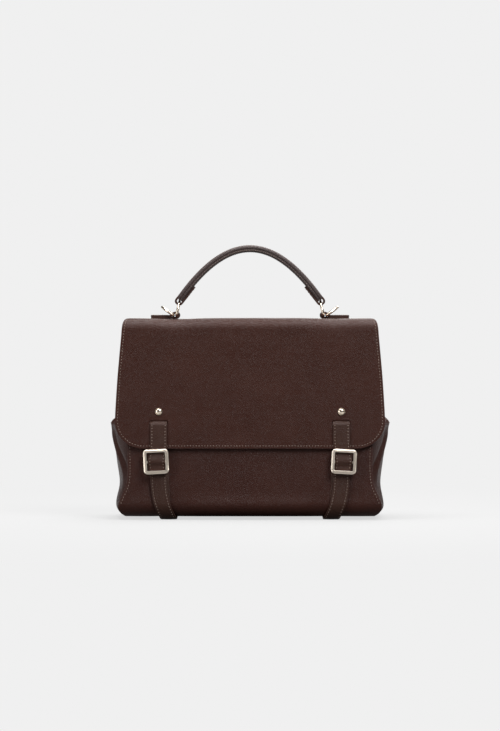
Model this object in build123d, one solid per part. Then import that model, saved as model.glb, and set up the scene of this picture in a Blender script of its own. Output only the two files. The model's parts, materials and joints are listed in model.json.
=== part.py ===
from build123d import *
from math import atan2, cos, degrees, hypot, radians, sin, tan
import os

# Satchel bag in leather, in millimetres, standing on its two lower straps.
# +X is the bag's right, +Y its back, +Z up, and the front with the buckles faces -Y.
# Sheets are cut twice: a band drawn in the side view, then an outline drawn in the front view.

os.makedirs("parts", exist_ok=True)

# ---------------------------------------------------------------- leather, cloth, board and air
BODY_LEATHER = 2.0        # front, back, base and gussets
FLAP_LEATHER = 1.8
STRAP_LEATHER = 2.0       # closure straps, lower straps
BACKING_LEATHER = 1.5     # second layer behind each lower strap
HANDLE_LEATHER = 2.0
CLOTH = 0.6               # lining cloth
BASE_BOARD = 2.5          # stiffener in the base
TOP_BOARD = 2.0           # stiffener that carries the handle
SEWN_GAP = 0.05           # between pieces that are sewn face to face
SOFT_GAP = 0.3            # between soft pieces that move apart

# ---------------------------------------------------------------- body, side view
BASE_DEPTH = 124.0        # front corner to back corner, at the base
BODY_HEIGHT = 228.0       # ground to the top strip
FRONT_HEIGHT = 168.0      # ground to the front panel's top edge
FRONT_TOP_Y = -39.0       # front panel's top edge
BACK_TOP_Y = 36.0         # back panel's top corner
BASE_RADIUS = 14.0        # turn of the leather into the base
TOP_RADIUS = 13.0         # roll of the leather over the top
UNDER_SEAM = 20.0         # seams under the base, in from its front and back corners
HINGE_Y = -19.0           # fold line where the flap leaves the top strip

# ---------------------------------------------------------------- body, front view
# Height, half width at the panel seams, half width at the gusset's middle crease.
GUSSET_STATIONS = [
    (0.0, 141.0, 143.5),
    (14.0, 149.5, 153.0),
    (40.0, 141.0, 150.0),
    (62.0, 139.5, 152.5),
    (111.0, 141.0, 159.5),
    (BODY_HEIGHT, 142.0, 159.5),
]
GUSSET_DIP = 111.0        # height of the gusset's top edge at the crease
GUSSET_RISE = 156.0       # height of the same edge at the panels
TOP_HALF_WIDTH = 145.0    # top strip, and the flap where it leaves it

# ---------------------------------------------------------------- flap
FLAP_AIR = 2.4            # space behind the flap for the strap roots
FLAP_ROLL = 14.0
FLAP_SHOULDER_HALF = 156.0
FLAP_SHOULDER_Z = 112.0
FLAP_BOTTOM_Z = 79.5
FLAP_CORNER = 32.0
FLAP_LINING_INSET = 1.5

# ---------------------------------------------------------------- closures
STRAP_X = 104.0           # middle of the closure straps
STRAP_WIDTH = 19.6
SLOT_Z = 111.0            # slots in the flap that the straps come out of
SLOT_HEIGHT = 3.2
SLOT_PLAY = 0.4           # each side of the strap
ROOT_LENGTH = 20.0        # strap behind the flap, above the slot
STUD_RISE = 10.5          # stud above the slot
STUD_CAP = 9.0
STUD_DOME = 1.9
STUD_POST = 3.0
STUD_BACK = 8.0
STUD_BACK_T = 0.6
BUCKLE_X = 104.6
BUCKLE_Z = 65.4
BUCKLE_WIDTH = 30.0
BUCKLE_HEIGHT = 29.6
BUCKLE_SIDE = 3.9         # width of the side bars
BUCKLE_END = 5.0          # width of the top and bottom bars
BUCKLE_T = 2.6
BUCKLE_CORNER = 4.5
BUCKLE_EDGE = 0.8         # bevel round the frame
BUCKLE_TILT = 3.0         # degrees, inner side up
BAR_HEIGHT = 2.6          # hidden middle bar
BAR_T = 1.5
POST_WIDTH = 1.8          # ends of the middle bar
STRAP_CROWN = 1.2         # strap's rise over the middle bar
CROWN_FLAT = 2.2          # half length of its flat top
CROWN_UP = 8.0            # start of the rise, above the bar
CROWN_DOWN = 4.8          # end of it, below the bar
SNAP_DIAMETER = 7.0
SNAP_DROP = 5.6           # snap below the buckle's middle
SNAP_AIR = 0.1

# ---------------------------------------------------------------- lower straps
LOWER_TOP_Z = 79.0
LOWER_WIDTH = 18.6
LOWER_SWEEP = 13.5        # how far each strap curves in towards the base
LOWER_SWEEP_Z = 52.0      # height where that curve starts
LOWER_END_Y = 40.0        # end of the strap under the base
BACKING_SHOWS_Z = 24.0    # height where the backing's inner edge goes behind the strap
BACKING_SHIFT = 2.6       # how far the backing shows on the inner side

# ---------------------------------------------------------------- handle, rings and tabs
TAB_Y = 6.0               # middle of the handle, front to back
TAB_WIDTH = 18.0
TAB_LEATHER = 2.2
TAB_END_X = 114.0
WIRE = 3.0                # ring wire
RING_INSIDE = 22.0        # width inside the D
RING_HEIGHT = 15.9        # bar centre to arc centre line
RING_CORNER = 2.6
RING_PLAY = 0.4           # ring bar in the tab's loop
HANDLE_RING_X = 84.5
RING_SPACING = 3.7        # between the bars of the two rings in one loop
HANDLE_RING_LEAN = 12.0   # degrees from upright, towards the middle
SHOULDER_RING_RISE = 36.0  # degrees above level, outwards
HANDLE_RISE = 85.0        # crest of the handle above the top strip
HANDLE_END_X = 80.0
HANDLE_END_RISE = 28.0    # outer face at the ends, above the top strip
HANDLE_WIDTH = 18.0
HANDLE_CORE = 4.2
CORE_WIDTH = 14.0
LOOP_WIDTH = 14.0
LOOP_BORE_PLAY = 1.7      # lets the loop slide round the leaning ring
LOOP_SEAT = 0.6           # above the ring's wire, where the loop's bore hangs on it
LOOP_TONGUE_X = 64.0      # inner end of the folded back tongue
LOOP_LEATHER = 1.8

# ---------------------------------------------------------------- pocket
POCKET_WIDTH = 180.0
POCKET_TOP_Z = 140.0
POCKET_BOTTOM_Z = 30.0

# ---------------------------------------------------------------- worked out from the sizes above
LOWER_BACK = BACKING_LEATHER + 2 * SEWN_GAP  # back of the lower strap, off the front panel
LOWER_FACE = LOWER_BACK + STRAP_LEATHER
LIFT = LOWER_FACE                        # the base stands on the lower straps
FRONT_FOOT = (-BASE_DEPTH / 2, LIFT)
BACK_FOOT = (BASE_DEPTH / 2, LIFT)
UNDER_SEAM_Y = BASE_DEPTH / 2 - UNDER_SEAM
FRONT_LEAN = atan2(FRONT_TOP_Y + BASE_DEPTH / 2, FRONT_HEIGHT - LIFT)
BACK_LEAN = atan2(BASE_DEPTH / 2 - BACK_TOP_Y, BODY_HEIGHT - LIFT)
FLAP_BACK = FLAP_AIR + CLOTH             # back face of the flap's leather, off the front panel
FLAP_FACE = FLAP_BACK + FLAP_LEATHER
CLOSURE_BACK = FLAP_FACE + SOFT_GAP
CLOSURE_FACE = CLOSURE_BACK + STRAP_LEATHER
BUCKLE_BACK = CLOSURE_FACE + SNAP_AIR
BUCKLE_FACE = BUCKLE_BACK + BUCKLE_T
TAB_BASE = BODY_HEIGHT + SEWN_GAP
RING_BORE = WIRE / 2 + RING_PLAY
RING_BAR_Z = TAB_BASE + TAB_LEATHER + RING_BORE
RING_HALF = (RING_INSIDE + WIRE) / 2
SHOULDER_RING_X = HANDLE_RING_X + RING_SPACING
LOOP_SAG = LOOP_BORE_PLAY - LOOP_SEAT    # middle of the loop's bore, under the ring's wire
HANDLE_CREST_Z = BODY_HEIGHT + HANDLE_RISE
HANDLE_T = 2 * HANDLE_LEATHER + HANDLE_CORE + 2 * SEWN_GAP
ARCH = (HANDLE_RISE - HANDLE_END_RISE) / HANDLE_END_X ** 2
BIG = 4 * BODY_HEIGHT


def on_front(height, out):
    """Point (y, z) that far off the front panel's face, at that height on the panel."""
    along = (height - LIFT) / cos(FRONT_LEAN)
    y = FRONT_FOOT[0] + along * sin(FRONT_LEAN) - out * cos(FRONT_LEAN)
    z = LIFT + along * cos(FRONT_LEAN) + out * sin(FRONT_LEAN)
    return (y, z)


def offset_path(points, distances):
    """Each run of the path moved to its left by its own distance, then joined again."""
    lines = []
    for (a, b), distance in zip(zip(points, points[1:]), distances):
        length = hypot(b[0] - a[0], b[1] - a[1])
        run = ((b[0] - a[0]) / length, (b[1] - a[1]) / length)
        start = (a[0] - run[1] * distance, a[1] + run[0] * distance)
        end = (b[0] - run[1] * distance, b[1] + run[0] * distance)
        lines.append((start, end, run))
    moved = [lines[0][0]]
    for (a, _, u), (b, _, v) in zip(lines, lines[1:]):
        cross = u[0] * v[1] - u[1] * v[0]
        step = ((b[0] - a[0]) * v[1] - (b[1] - a[1]) * v[0]) / cross
        moved.append((a[0] + u[0] * step, a[1] + u[1] * step))
    moved.append(lines[-1][1])
    return moved


def turn_sign(a, b, c):
    """+1 where the path turns left at b, -1 where it turns right."""
    cross = (b[0] - a[0]) * (c[1] - b[1]) - (b[1] - a[1]) * (c[0] - b[0])
    return 1 if cross > 0 else -1


def rounded(points, radii):
    """Runs joined by arcs, one radius for each corner."""
    return FilletPolyline(*points, radius=radii) if len(points) > 2 else Polyline(*points)


def band(points, radii, right, left):
    """Side view face between two offsets of a path: right of it and left of it, per run or all alike."""
    runs = len(points) - 1
    sides = []
    for distance in (-right, left):
        moved = offset_path(points, [distance] * runs)
        corners = zip(points, points[1:], points[2:])
        own = [radius - distance * turn_sign(*corner) for radius, corner in zip(radii, corners)]
        sides.append(rounded(moved, own))
    ends = [Line(sides[0] @ 0, sides[1] @ 0), Line(sides[0] @ 1, sides[1] @ 1)]
    return make_face(sides[0].edges() + sides[1].edges() + ends)


def along_x(face, low=-BIG, high=BIG):
    """Solid from a side view face, between two places across the bag."""
    return Pos(low, 0, 0) * extrude(Plane.YZ * face, high - low)


def along_y(face, half_depth=BIG):
    """Solid from a front view face, the same distance to the front and the back."""
    return extrude(Plane.XZ * face, half_depth, both=True)


def one(shape):
    """The single solid of a result."""
    return shape.solids().sort_by(lambda solid: solid.volume)[-1]


def mirrored(solid):
    return mirror(solid, about=Plane.YZ)


def front_box(x, low, high, width, back, face):
    """Flat piece on the front panel's slope: middle, heights, width, and distances off the panel."""
    corners = [on_front(low, back), on_front(high, back), on_front(high, face), on_front(low, face)]
    return along_x(make_face(Polyline(*corners, close=True)), x - width / 2, x + width / 2)


def front_plane(x, height, out):
    """Work plane on the front panel's slope, with its normal straight off the panel."""
    y, z = on_front(height, out)
    return Plane(origin=(x, y, z), x_dir=(1, 0, 0), z_dir=(0, -cos(FRONT_LEAN), sin(FRONT_LEAN)))


def disc(x, height, diameter, back, face):
    """Round piece on the front panel's slope."""
    plane = front_plane(x, height, back)
    return plane.location * extrude(Circle(diameter / 2), face - back)


# ---------------------------------------------------------------- shell of the body
TOP_BACK = (BACK_TOP_Y, BODY_HEIGHT)
SHELL = [on_front(FRONT_HEIGHT, 0), FRONT_FOOT, BACK_FOOT, TOP_BACK, (HINGE_Y + SOFT_GAP / 2, BODY_HEIGHT)]
SHELL_RADII = [BASE_RADIUS, BASE_RADIUS, TOP_RADIUS]


def inner_room(leather, base, top):
    """Solid that fills the shell's inside, less a layer on the panels, the base and the top."""
    points = offset_path(SHELL, [leather, base, leather, top])
    radii = [BASE_RADIUS - leather, BASE_RADIUS - leather, TOP_RADIUS - leather]
    path = rounded(points, radii)
    return along_x(make_face(path.edges() + [Line(path @ 1, path @ 0)]))


def seam_outline(top_half, top):
    """Front view of a panel: the sides follow the gusset seams, up to the given top."""
    side = [(half, height) for height, half, _ in GUSSET_STATIONS if height < FRONT_HEIGHT]
    side.append((top_half, top))
    right = Spline(*side)
    left = Spline(*[(-x, z) for x, z in side])
    foot = Line(left @ 0, right @ 0)
    return make_face([right.edge(), left.edge(), foot.edge(), Line(left @ 1, right @ 1).edge()])


def make_front_panel():
    points = [SHELL[0], FRONT_FOOT, (-UNDER_SEAM_Y, LIFT)]
    sheet = along_x(band(points, [BASE_RADIUS], 0, BODY_LEATHER))
    return one(sheet & along_y(seam_outline(GUSSET_STATIONS[-1][1], BODY_HEIGHT)))


def make_back_panel():
    points = [(UNDER_SEAM_Y, LIFT), BACK_FOOT, TOP_BACK, SHELL[-1]]
    sheet = along_x(band(points, [BASE_RADIUS, TOP_RADIUS], 0, BODY_LEATHER))
    return one(sheet & along_y(seam_outline(TOP_HALF_WIDTH, BODY_HEIGHT + SEWN_GAP)))


def make_base_panel():
    """Base leather between the under seams, its ends following the gussets."""
    _, seam, crease = GUSSET_STATIONS[0]
    side = seam + (crease - seam) * (1 - UNDER_SEAM_Y / (BASE_DEPTH / 2)) - BODY_LEATHER - SEWN_GAP
    middle = crease - BODY_LEATHER - SEWN_GAP
    half = [(side, -UNDER_SEAM_Y), (middle, 0), (side, UNDER_SEAM_Y)]
    other = [(-x, y) for x, y in reversed(half)]
    return Pos(0, 0, LIFT) * extrude(make_face(Polyline(*half, *other, close=True)), BODY_LEATHER)


def gusset_section(height, seam, crease, inset, thickness):
    """Level section of a gusset: a shallow V that points outwards, at a distance inside its face."""
    reach = BASE_DEPTH / 2
    seam_face, crease_face = seam - inset, crease - inset
    outer = [(seam_face, -reach), (crease_face, 0), (seam_face, reach)]
    inner = [(x - thickness, y) for x, y in reversed(outer)]
    return Pos(0, 0, height) * make_face(Polyline(*outer, *inner, close=True))


def make_gusset(inset, thickness, room):
    """Gusset layer, cut to the room between the panels, with its dipping top edge."""
    sections = [gusset_section(z, seam, crease, inset, thickness) for z, seam, crease in GUSSET_STATIONS]
    wall = loft(sections, ruled=True)
    dip = Polyline((-BASE_DEPTH / 2, GUSSET_RISE), (0, GUSSET_DIP), (BASE_DEPTH / 2, GUSSET_RISE),
                   (BASE_DEPTH / 2, BIG), (-BASE_DEPTH / 2, BIG), close=True)
    return one((wall & room) - along_x(make_face(dip)))


def make_base_board():
    turn_reach = BASE_RADIUS * tan(radians(45) + FRONT_LEAN / 2)
    depth = BASE_DEPTH - 2 * turn_reach
    length = 2 * (GUSSET_STATIONS[0][1] - 2 * BODY_LEATHER - SOFT_GAP)
    return Pos(0, 0, LIFT + BODY_LEATHER + BASE_BOARD / 2) * Box(length, depth, BASE_BOARD)


def make_top_board():
    low_y = HINGE_Y + BODY_LEATHER
    high_y = BACK_TOP_Y - TOP_RADIUS
    z = BODY_HEIGHT - BODY_LEATHER - TOP_BOARD / 2
    length = 2 * (TOP_HALF_WIDTH - 2 * BODY_LEATHER)
    return Pos(0, (low_y + high_y) / 2, z) * Box(length, high_y - low_y, TOP_BOARD)


def make_lining():
    """One strip of cloth down the front, across the base board, up the back and under the top board."""
    outer = offset_path(SHELL, [BODY_LEATHER, BODY_LEATHER + BASE_BOARD, BODY_LEATHER, BODY_LEATHER + TOP_BOARD])
    outer[0] = (outer[0][0], outer[0][1] - BODY_LEATHER)
    radii = [BASE_RADIUS - BODY_LEATHER, BASE_RADIUS - BODY_LEATHER, TOP_RADIUS - BODY_LEATHER]
    half = min(seam for _, seam, _ in GUSSET_STATIONS) - BODY_LEATHER - CLOTH - SOFT_GAP
    return one(along_x(band(outer, radii, 0, CLOTH), -half, half))


def make_pocket():
    """Slip pocket of lining cloth, sewn on the back lining."""
    base = BODY_LEATHER + CLOTH
    points = offset_path([BACK_FOOT, TOP_BACK], [base])
    sheet = along_x(band(points, [], 0, 2 * CLOTH), -POCKET_WIDTH / 2, POCKET_WIDTH / 2)
    middle = (POCKET_TOP_Z + POCKET_BOTTOM_Z) / 2
    window = Pos(0, 0, middle) * Box(BIG, BIG, POCKET_TOP_Z - POCKET_BOTTOM_Z)
    return one(sheet & window)


# ---------------------------------------------------------------- flap
def flap_path():
    """Outer face of the flap in the side view, from its fold line to its bottom edge."""
    top = on_front(BODY_HEIGHT, FLAP_FACE)
    slope = (top[0] - on_front(0, FLAP_FACE)[0]) / (top[1] - on_front(0, FLAP_FACE)[1])
    corner = (top[0] - slope * (top[1] - BODY_HEIGHT), BODY_HEIGHT)
    foot = (corner[0] - slope * (BODY_HEIGHT - FLAP_BOTTOM_Z), FLAP_BOTTOM_Z)
    return [(HINGE_Y - SOFT_GAP / 2, BODY_HEIGHT), corner, foot]


def flap_outline(inset):
    """Front view of the flap: sides that spread downwards and two wide lower corners."""
    spread = (FLAP_SHOULDER_HALF - TOP_HALF_WIDTH) / (BODY_HEIGHT - FLAP_SHOULDER_Z)
    top = BODY_HEIGHT + SOFT_GAP
    bottom = FLAP_BOTTOM_Z + inset
    top_half = TOP_HALF_WIDTH - inset
    low_half = top_half + spread * (BODY_HEIGHT - FLAP_BOTTOM_Z)
    corners = [(-top_half, top), (-low_half, bottom), (low_half, bottom), (top_half, top)]
    edge = FilletPolyline(*corners, radius=[FLAP_CORNER, FLAP_CORNER])
    return make_face(edge.edges() + [Line(edge @ 1, edge @ 0)])


def flap_layer(low, high, inset):
    """Layer of the flap between two depths under its outer face."""
    path = flap_path()
    mid = offset_path(path, [low, low])
    sheet = along_x(band(mid, [FLAP_ROLL - low], 0, high - low))
    return sheet & along_y(flap_outline(inset))


def slot_cut(x):
    """Opening in the flap that a closure strap comes out of."""
    width = STRAP_WIDTH + 2 * SLOT_PLAY
    return front_box(x, SLOT_Z - SLOT_HEIGHT, SLOT_Z, width, 0, BUCKLE_FACE)


def root_room(x):
    """Room that a strap's root takes behind the flap's leather."""
    width = STRAP_WIDTH + 2 * SLOT_PLAY
    return front_box(x, SLOT_Z - SLOT_HEIGHT, SLOT_Z + ROOT_LENGTH + SLOT_PLAY, width, 0, FLAP_BACK)


def post_hole(x):
    return disc(x, SLOT_Z + STUD_RISE, STUD_POST, 0, BUCKLE_FACE)


def make_flap():
    leather = flap_layer(0, FLAP_LEATHER, 0)
    for x in (-STRAP_X, STRAP_X):
        leather -= slot_cut(x) + post_hole(x)
    return one(leather)


def make_flap_lining():
    cloth = flap_layer(FLAP_LEATHER, FLAP_LEATHER + CLOTH, FLAP_LINING_INSET)
    for x in (-STRAP_X, STRAP_X):
        cloth -= root_room(x)
    return one(cloth)


# ---------------------------------------------------------------- closures
def make_strap_root():
    """Root of a closure strap: riveted behind the flap, with its throat in the slot."""
    back = front_box(STRAP_X, SLOT_Z - SLOT_HEIGHT + SLOT_PLAY, SLOT_Z + ROOT_LENGTH, STRAP_WIDTH,
                     FLAP_BACK - STRAP_LEATHER, FLAP_BACK)
    throat = front_box(STRAP_X, SLOT_Z - SLOT_HEIGHT + SLOT_PLAY, SLOT_Z - SLOT_PLAY, STRAP_WIDTH,
                       FLAP_BACK, FLAP_FACE)
    return one(back + throat - post_hole(STRAP_X))


def make_stud():
    """Domed stud on its post."""
    base = front_plane(STRAP_X, SLOT_Z + STUD_RISE, FLAP_BACK - STRAP_LEATHER)
    length = STRAP_LEATHER + FLAP_LEATHER
    rim = (STUD_CAP / 2, length)
    top = (0, length + STUD_DOME)
    shank = Polyline(top, (0, 0), (STUD_POST / 2, 0), (STUD_POST / 2, length), rim)
    sphere = ((STUD_CAP / 2) ** 2 + STUD_DOME ** 2) / (2 * STUD_DOME)
    section = make_face(shank.edges() + [RadiusArc(rim, top, -sphere)])
    return one(base.location * revolve(Plane.XZ * section, Axis.Z))


def make_stud_back():
    face = FLAP_BACK - STRAP_LEATHER
    return disc(STRAP_X, SLOT_Z + STUD_RISE, STUD_BACK, face - STUD_BACK_T, face)


def make_closure_strap():
    """Strap that hangs from its slot, crowned over the buckle's middle bar."""
    crown = CLOSURE_BACK + STRAP_CROWN
    low = BUCKLE_Z - BUCKLE_HEIGHT / 2 + SOFT_GAP
    top = SLOT_Z - SLOT_PLAY
    points = [on_front(top, CLOSURE_BACK), on_front(BUCKLE_Z + CROWN_UP, CLOSURE_BACK),
              on_front(BUCKLE_Z + CROWN_FLAT, crown), on_front(BUCKLE_Z - CROWN_FLAT, crown),
              on_front(BUCKLE_Z - CROWN_DOWN, CLOSURE_BACK), on_front(low, CLOSURE_BACK)]
    radii = [STRAP_LEATHER + SOFT_GAP] * 4
    half = STRAP_WIDTH / 2
    return one(along_x(band(points, radii, STRAP_LEATHER, 0), STRAP_X - half, STRAP_X + half))


def make_buckle():
    """Square frame with bevelled bars, and the hidden middle bar on its two posts."""
    inside = Rectangle(BUCKLE_WIDTH - 2 * BUCKLE_SIDE, BUCKLE_HEIGHT - 2 * BUCKLE_END)
    outside = RectangleRounded(BUCKLE_WIDTH, BUCKLE_HEIGHT, BUCKLE_CORNER)
    frame = extrude(outside - inside, BUCKLE_T)
    frame = chamfer(frame.faces().sort_by(Axis.Z)[-1].edges(), BUCKLE_EDGE)
    bar_length = BUCKLE_WIDTH - 2 * BUCKLE_SIDE + 2 * POST_WIDTH
    bar_face = CLOSURE_BACK + STRAP_CROWN - SNAP_AIR - BUCKLE_BACK
    bar = Pos(0, 0, bar_face - BAR_T / 2) * Box(bar_length, BAR_HEIGHT, BAR_T)
    post_height = BAR_T - bar_face
    for side in (-1, 1):
        post_x = side * (bar_length - POST_WIDTH) / 2
        bar += Pos(post_x, 0, -post_height / 2) * Box(POST_WIDTH, BAR_HEIGHT, post_height)
    place = front_plane(BUCKLE_X, BUCKLE_Z, BUCKLE_BACK)
    return one(place.location * Rot(0, 0, -BUCKLE_TILT) * (frame + bar))


def snap_height():
    return BUCKLE_Z - SNAP_DROP


def make_snap_stud():
    return disc(STRAP_X, snap_height(), SNAP_DIAMETER, LOWER_FACE + SNAP_AIR, CLOSURE_BACK - SEWN_GAP)


def make_snap_socket():
    return disc(STRAP_X, snap_height(), SNAP_DIAMETER, LOWER_BACK, LOWER_FACE)


# ---------------------------------------------------------------- lower straps
def lower_outline(peek, trim):
    """Front view of a strap layer: straight at the buckle, then curving in to the base.

    The inner edge stands out by peek above the curve, and both edges are trimmed below it.
    """
    edges = []
    for side in (-1, 1):
        x = STRAP_X + side * LOWER_WIDTH / 2
        top_x = x + min(side, 0) * peek
        low_x = x - side * trim
        edges.append([(top_x, LOWER_TOP_Z), (top_x, LOWER_SWEEP_Z), (low_x - 0.2 * LOWER_SWEEP, BACKING_SHOWS_Z),
                      (low_x - LOWER_SWEEP, -LIFT)])
    inner, outer = [Polyline(*pts[:2]) + Spline(*pts[1:], tangents=[(0, -1), (-1, -1)]) for pts in edges]
    ends = [Line(edges[0][0], edges[1][0]), Line(edges[0][-1], edges[1][-1])]
    return make_face(inner.edges() + outer.edges() + ends)


def lower_layer(back, thickness, outline):
    """Layer sewn down the front, round the corner and under the base, at a distance off the panel."""
    points = [on_front(LOWER_TOP_Z, 0), FRONT_FOOT, (LOWER_END_Y, LIFT)]
    return along_x(band(points, [BASE_RADIUS], back + thickness, -back)) & along_y(outline)


def make_lower_strap():
    strap = lower_layer(LOWER_BACK, STRAP_LEATHER, lower_outline(0, 0))
    return one(strap - disc(STRAP_X, snap_height(), SNAP_DIAMETER, LOWER_BACK, BUCKLE_FACE))


def make_backing():
    return one(lower_layer(SEWN_GAP, BACKING_LEATHER, lower_outline(BACKING_SHIFT, SOFT_GAP)))


# ---------------------------------------------------------------- tabs and rings
def tab_hole():
    """Flat loop of the tab, round the bars of both rings."""
    middle = (HANDLE_RING_X + SHOULDER_RING_X) / 2
    return Pos(middle, RING_BAR_Z) * SlotCenterToCenter(RING_SPACING, 2 * RING_BORE)


def make_tab():
    """Strip folded round the two ring bars and sewn flat on the top strip."""
    middle = (HANDLE_RING_X + SHOULDER_RING_X) / 2
    wrap = Pos(middle, RING_BAR_Z) * SlotCenterToCenter(RING_SPACING, 2 * (RING_BORE + TAB_LEATHER))
    flat = 2 * TAB_LEATHER
    tail = Pos((middle + TAB_END_X) / 2, TAB_BASE + flat / 2) * Rectangle(TAB_END_X - middle, flat)
    strip = extrude(Plane.XZ * (wrap + tail - tab_hole()), TAB_WIDTH / 2, both=True)
    return one(Pos(0, TAB_Y, 0) * strip)


def ring_solid():
    """D ring in the upright plane across X, its bar on the Y axis."""
    corners = [(-RING_HALF, 0), (RING_HALF, 0), (RING_HALF, RING_HEIGHT), (-RING_HALF, RING_HEIGHT)]
    arc = RING_HALF - SEWN_GAP
    path = FilletPolyline(*corners, radius=[RING_CORNER, RING_CORNER, arc, arc], close=True)
    wire = Plane.YZ * path
    profile = Plane(origin=wire @ 0, z_dir=wire % 0) * Circle(WIRE / 2)
    return one(sweep(profile, path=wire))


def place_ring(x, turn):
    """Ring on its bar's axis, turned about it from upright, outwards when positive."""
    return Pos(x, TAB_Y, RING_BAR_Z) * Rot(0, turn, 0) * ring_solid()


def make_handle_ring():
    return place_ring(HANDLE_RING_X, -HANDLE_RING_LEAN)


def make_shoulder_ring():
    return place_ring(SHOULDER_RING_X, 90 - SHOULDER_RING_RISE)


# ---------------------------------------------------------------- handle
def arch_point(x, depth):
    """Point at a depth under the handle's outer face, on the normal from that face."""
    slope = -2 * ARCH * x
    length = hypot(1, slope)
    return (x + depth * slope / length, HANDLE_CREST_Z - ARCH * x * x - depth / length)


def arch(depth, low=-HANDLE_END_X, high=HANDLE_END_X, steps=16):
    return Spline(*[arch_point(low + (high - low) * i / steps, depth) for i in range(steps + 1)])


def arch_layer(low_depth, high_depth, width, low=-HANDLE_END_X, high=HANDLE_END_X):
    """Layer of the handle between two depths, across a width."""
    sides = [arch(low_depth, low, high), arch(high_depth, low, high)]
    ends = [Line(sides[0] @ 0, sides[1] @ 0), Line(sides[0] @ 1, sides[1] @ 1)]
    face = make_face([sides[0].edge(), sides[1].edge(), ends[0].edge(), ends[1].edge()])
    return Pos(0, TAB_Y, 0) * extrude(Plane.XZ * face, width / 2, both=True)


def loop_centre():
    """Middle of the loop's bore in the front view, just under the top of the handle ring's wire."""
    lean = radians(HANDLE_RING_LEAN)
    up = RING_HEIGHT - LOOP_SAG
    return (HANDLE_RING_X - up * sin(lean), RING_BAR_Z + up * cos(lean))


def make_handle_loop():
    """Loop at the handle's end: wraps the ring and folds back under the handle as a tongue."""
    bore = WIRE / 2 + LOOP_BORE_PLAY
    wrap = Pos(*loop_centre()) * Circle(bore + LOOP_LEATHER)
    tongue_face = HANDLE_T + SEWN_GAP + LOOP_LEATHER
    end = Line(arch_point(HANDLE_END_X, SEWN_GAP), arch_point(HANDLE_END_X, tongue_face))
    neck = Plane.XZ * make_hull(wrap.edges() + end.edges())
    loop = Pos(0, TAB_Y, 0) * extrude(neck, LOOP_WIDTH / 2, both=True)
    grip = arch_layer(0, HANDLE_T + SEWN_GAP, 2 * HANDLE_WIDTH)
    tongue = arch_layer(HANDLE_T + SEWN_GAP, tongue_face, LOOP_WIDTH, LOOP_TONGUE_X, HANDLE_END_X)
    ring_path = Torus(RING_HALF - LOOP_SAG, bore)
    centre = RING_HEIGHT - RING_HALF
    place = Pos(HANDLE_RING_X, TAB_Y, RING_BAR_Z) * Rot(0, -HANDLE_RING_LEAN, 0) * Pos(0, 0, centre)
    return one(loop - grip + tongue - place * Rot(0, 90, 0) * ring_path)


# ---------------------------------------------------------------- all pieces
core_low = HANDLE_LEATHER + SEWN_GAP
core_high = core_low + HANDLE_CORE
PIECES = {
    "front_panel": make_front_panel(),
    "back_panel": make_back_panel(),
    "base_panel": make_base_panel(),
    "base_board": make_base_board(),
    "top_board": make_top_board(),
    "lining": make_lining(),
    "inner_pocket": make_pocket(),
    "flap": make_flap(),
    "flap_lining": make_flap_lining(),
    "handle_top": arch_layer(0, HANDLE_LEATHER, HANDLE_WIDTH),
    "handle_core": arch_layer(core_low, core_high, CORE_WIDTH),
    "handle_underside": arch_layer(core_high + SEWN_GAP, HANDLE_T, HANDLE_WIDTH),
}

leather_room = inner_room(BODY_LEATHER, BODY_LEATHER, BODY_LEATHER)
cloth_room = inner_room(BODY_LEATHER + CLOTH, BODY_LEATHER + BASE_BOARD + CLOTH, BODY_LEATHER + TOP_BOARD + CLOTH)
PAIRS = {
    "gusset": make_gusset(0, BODY_LEATHER, leather_room),
    "gusset_lining": make_gusset(BODY_LEATHER + SEWN_GAP, CLOTH, cloth_room),
    "strap_root": make_strap_root(),
    "stud": make_stud(),
    "stud_back": make_stud_back(),
    "closure_strap": make_closure_strap(),
    "buckle": make_buckle(),
    "snap_stud": make_snap_stud(),
    "snap_socket": make_snap_socket(),
    "lower_strap": make_lower_strap(),
    "strap_backing": make_backing(),
    "tab": make_tab(),
    "handle_ring": make_handle_ring(),
    "shoulder_ring": make_shoulder_ring(),
    "handle_loop": make_handle_loop(),
}
for name, solid in PAIRS.items():
    PIECES[name + "_right"] = solid
    PIECES[name + "_left"] = mirrored(solid)

# The origin is at the bottom centre of the whole bag's box, so everything moves along Y once.
reach = [solid.bounding_box() for solid in PIECES.values()]
Y_SHIFT = -(min(box.min.Y for box in reach) + max(box.max.Y for box in reach)) / 2

for name, solid in PIECES.items():
    export_step(Pos(0, Y_SHIFT, 0) * solid, f"parts/{name}.step")

# ---------------------------------------------------------------- joint places, in millimetres
slot_y, slot_z = on_front(SLOT_Z - SLOT_PLAY, FLAP_FACE + SOFT_GAP / 2)
ring_lean = radians(HANDLE_RING_LEAN)
JOINTS = {
    "flap_hinge": (0, HINGE_Y + Y_SHIFT, BODY_HEIGHT),
    "strap_lift": (STRAP_X, slot_y + Y_SHIFT, slot_z),
    "handle_swing": (0, TAB_Y + Y_SHIFT, RING_BAR_Z + (RING_HEIGHT - RING_HALF) * cos(ring_lean)),
    "shoulder_ring_tilt": (SHOULDER_RING_X, TAB_Y + Y_SHIFT, RING_BAR_Z),
}
for name, place in JOINTS.items():
    print(name, [round(value, 3) for value in place])
print("lean of the front", round(degrees(FRONT_LEAN), 2), "and of the back", round(degrees(BACK_LEAN), 2))
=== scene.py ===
# %% [markdown]
# # A leather satchel
# The bag is a soft box of brown grained leather. Its back runs up and over the top, and a long flap falls
# down the front. Two straps come through slots in the flap and end at square gold buckles.
# The CAD model is loaded first and gives every place and every joint. The soft pieces are made again here,
# because real leather bends, rolls over at its edges and shows its stitches.
# %% Load the frame
import json
from math import atan2, cos, exp, pi, radians, sin, tan

import bmesh
import bpy
from mathutils import Matrix, Vector, noise


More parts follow.
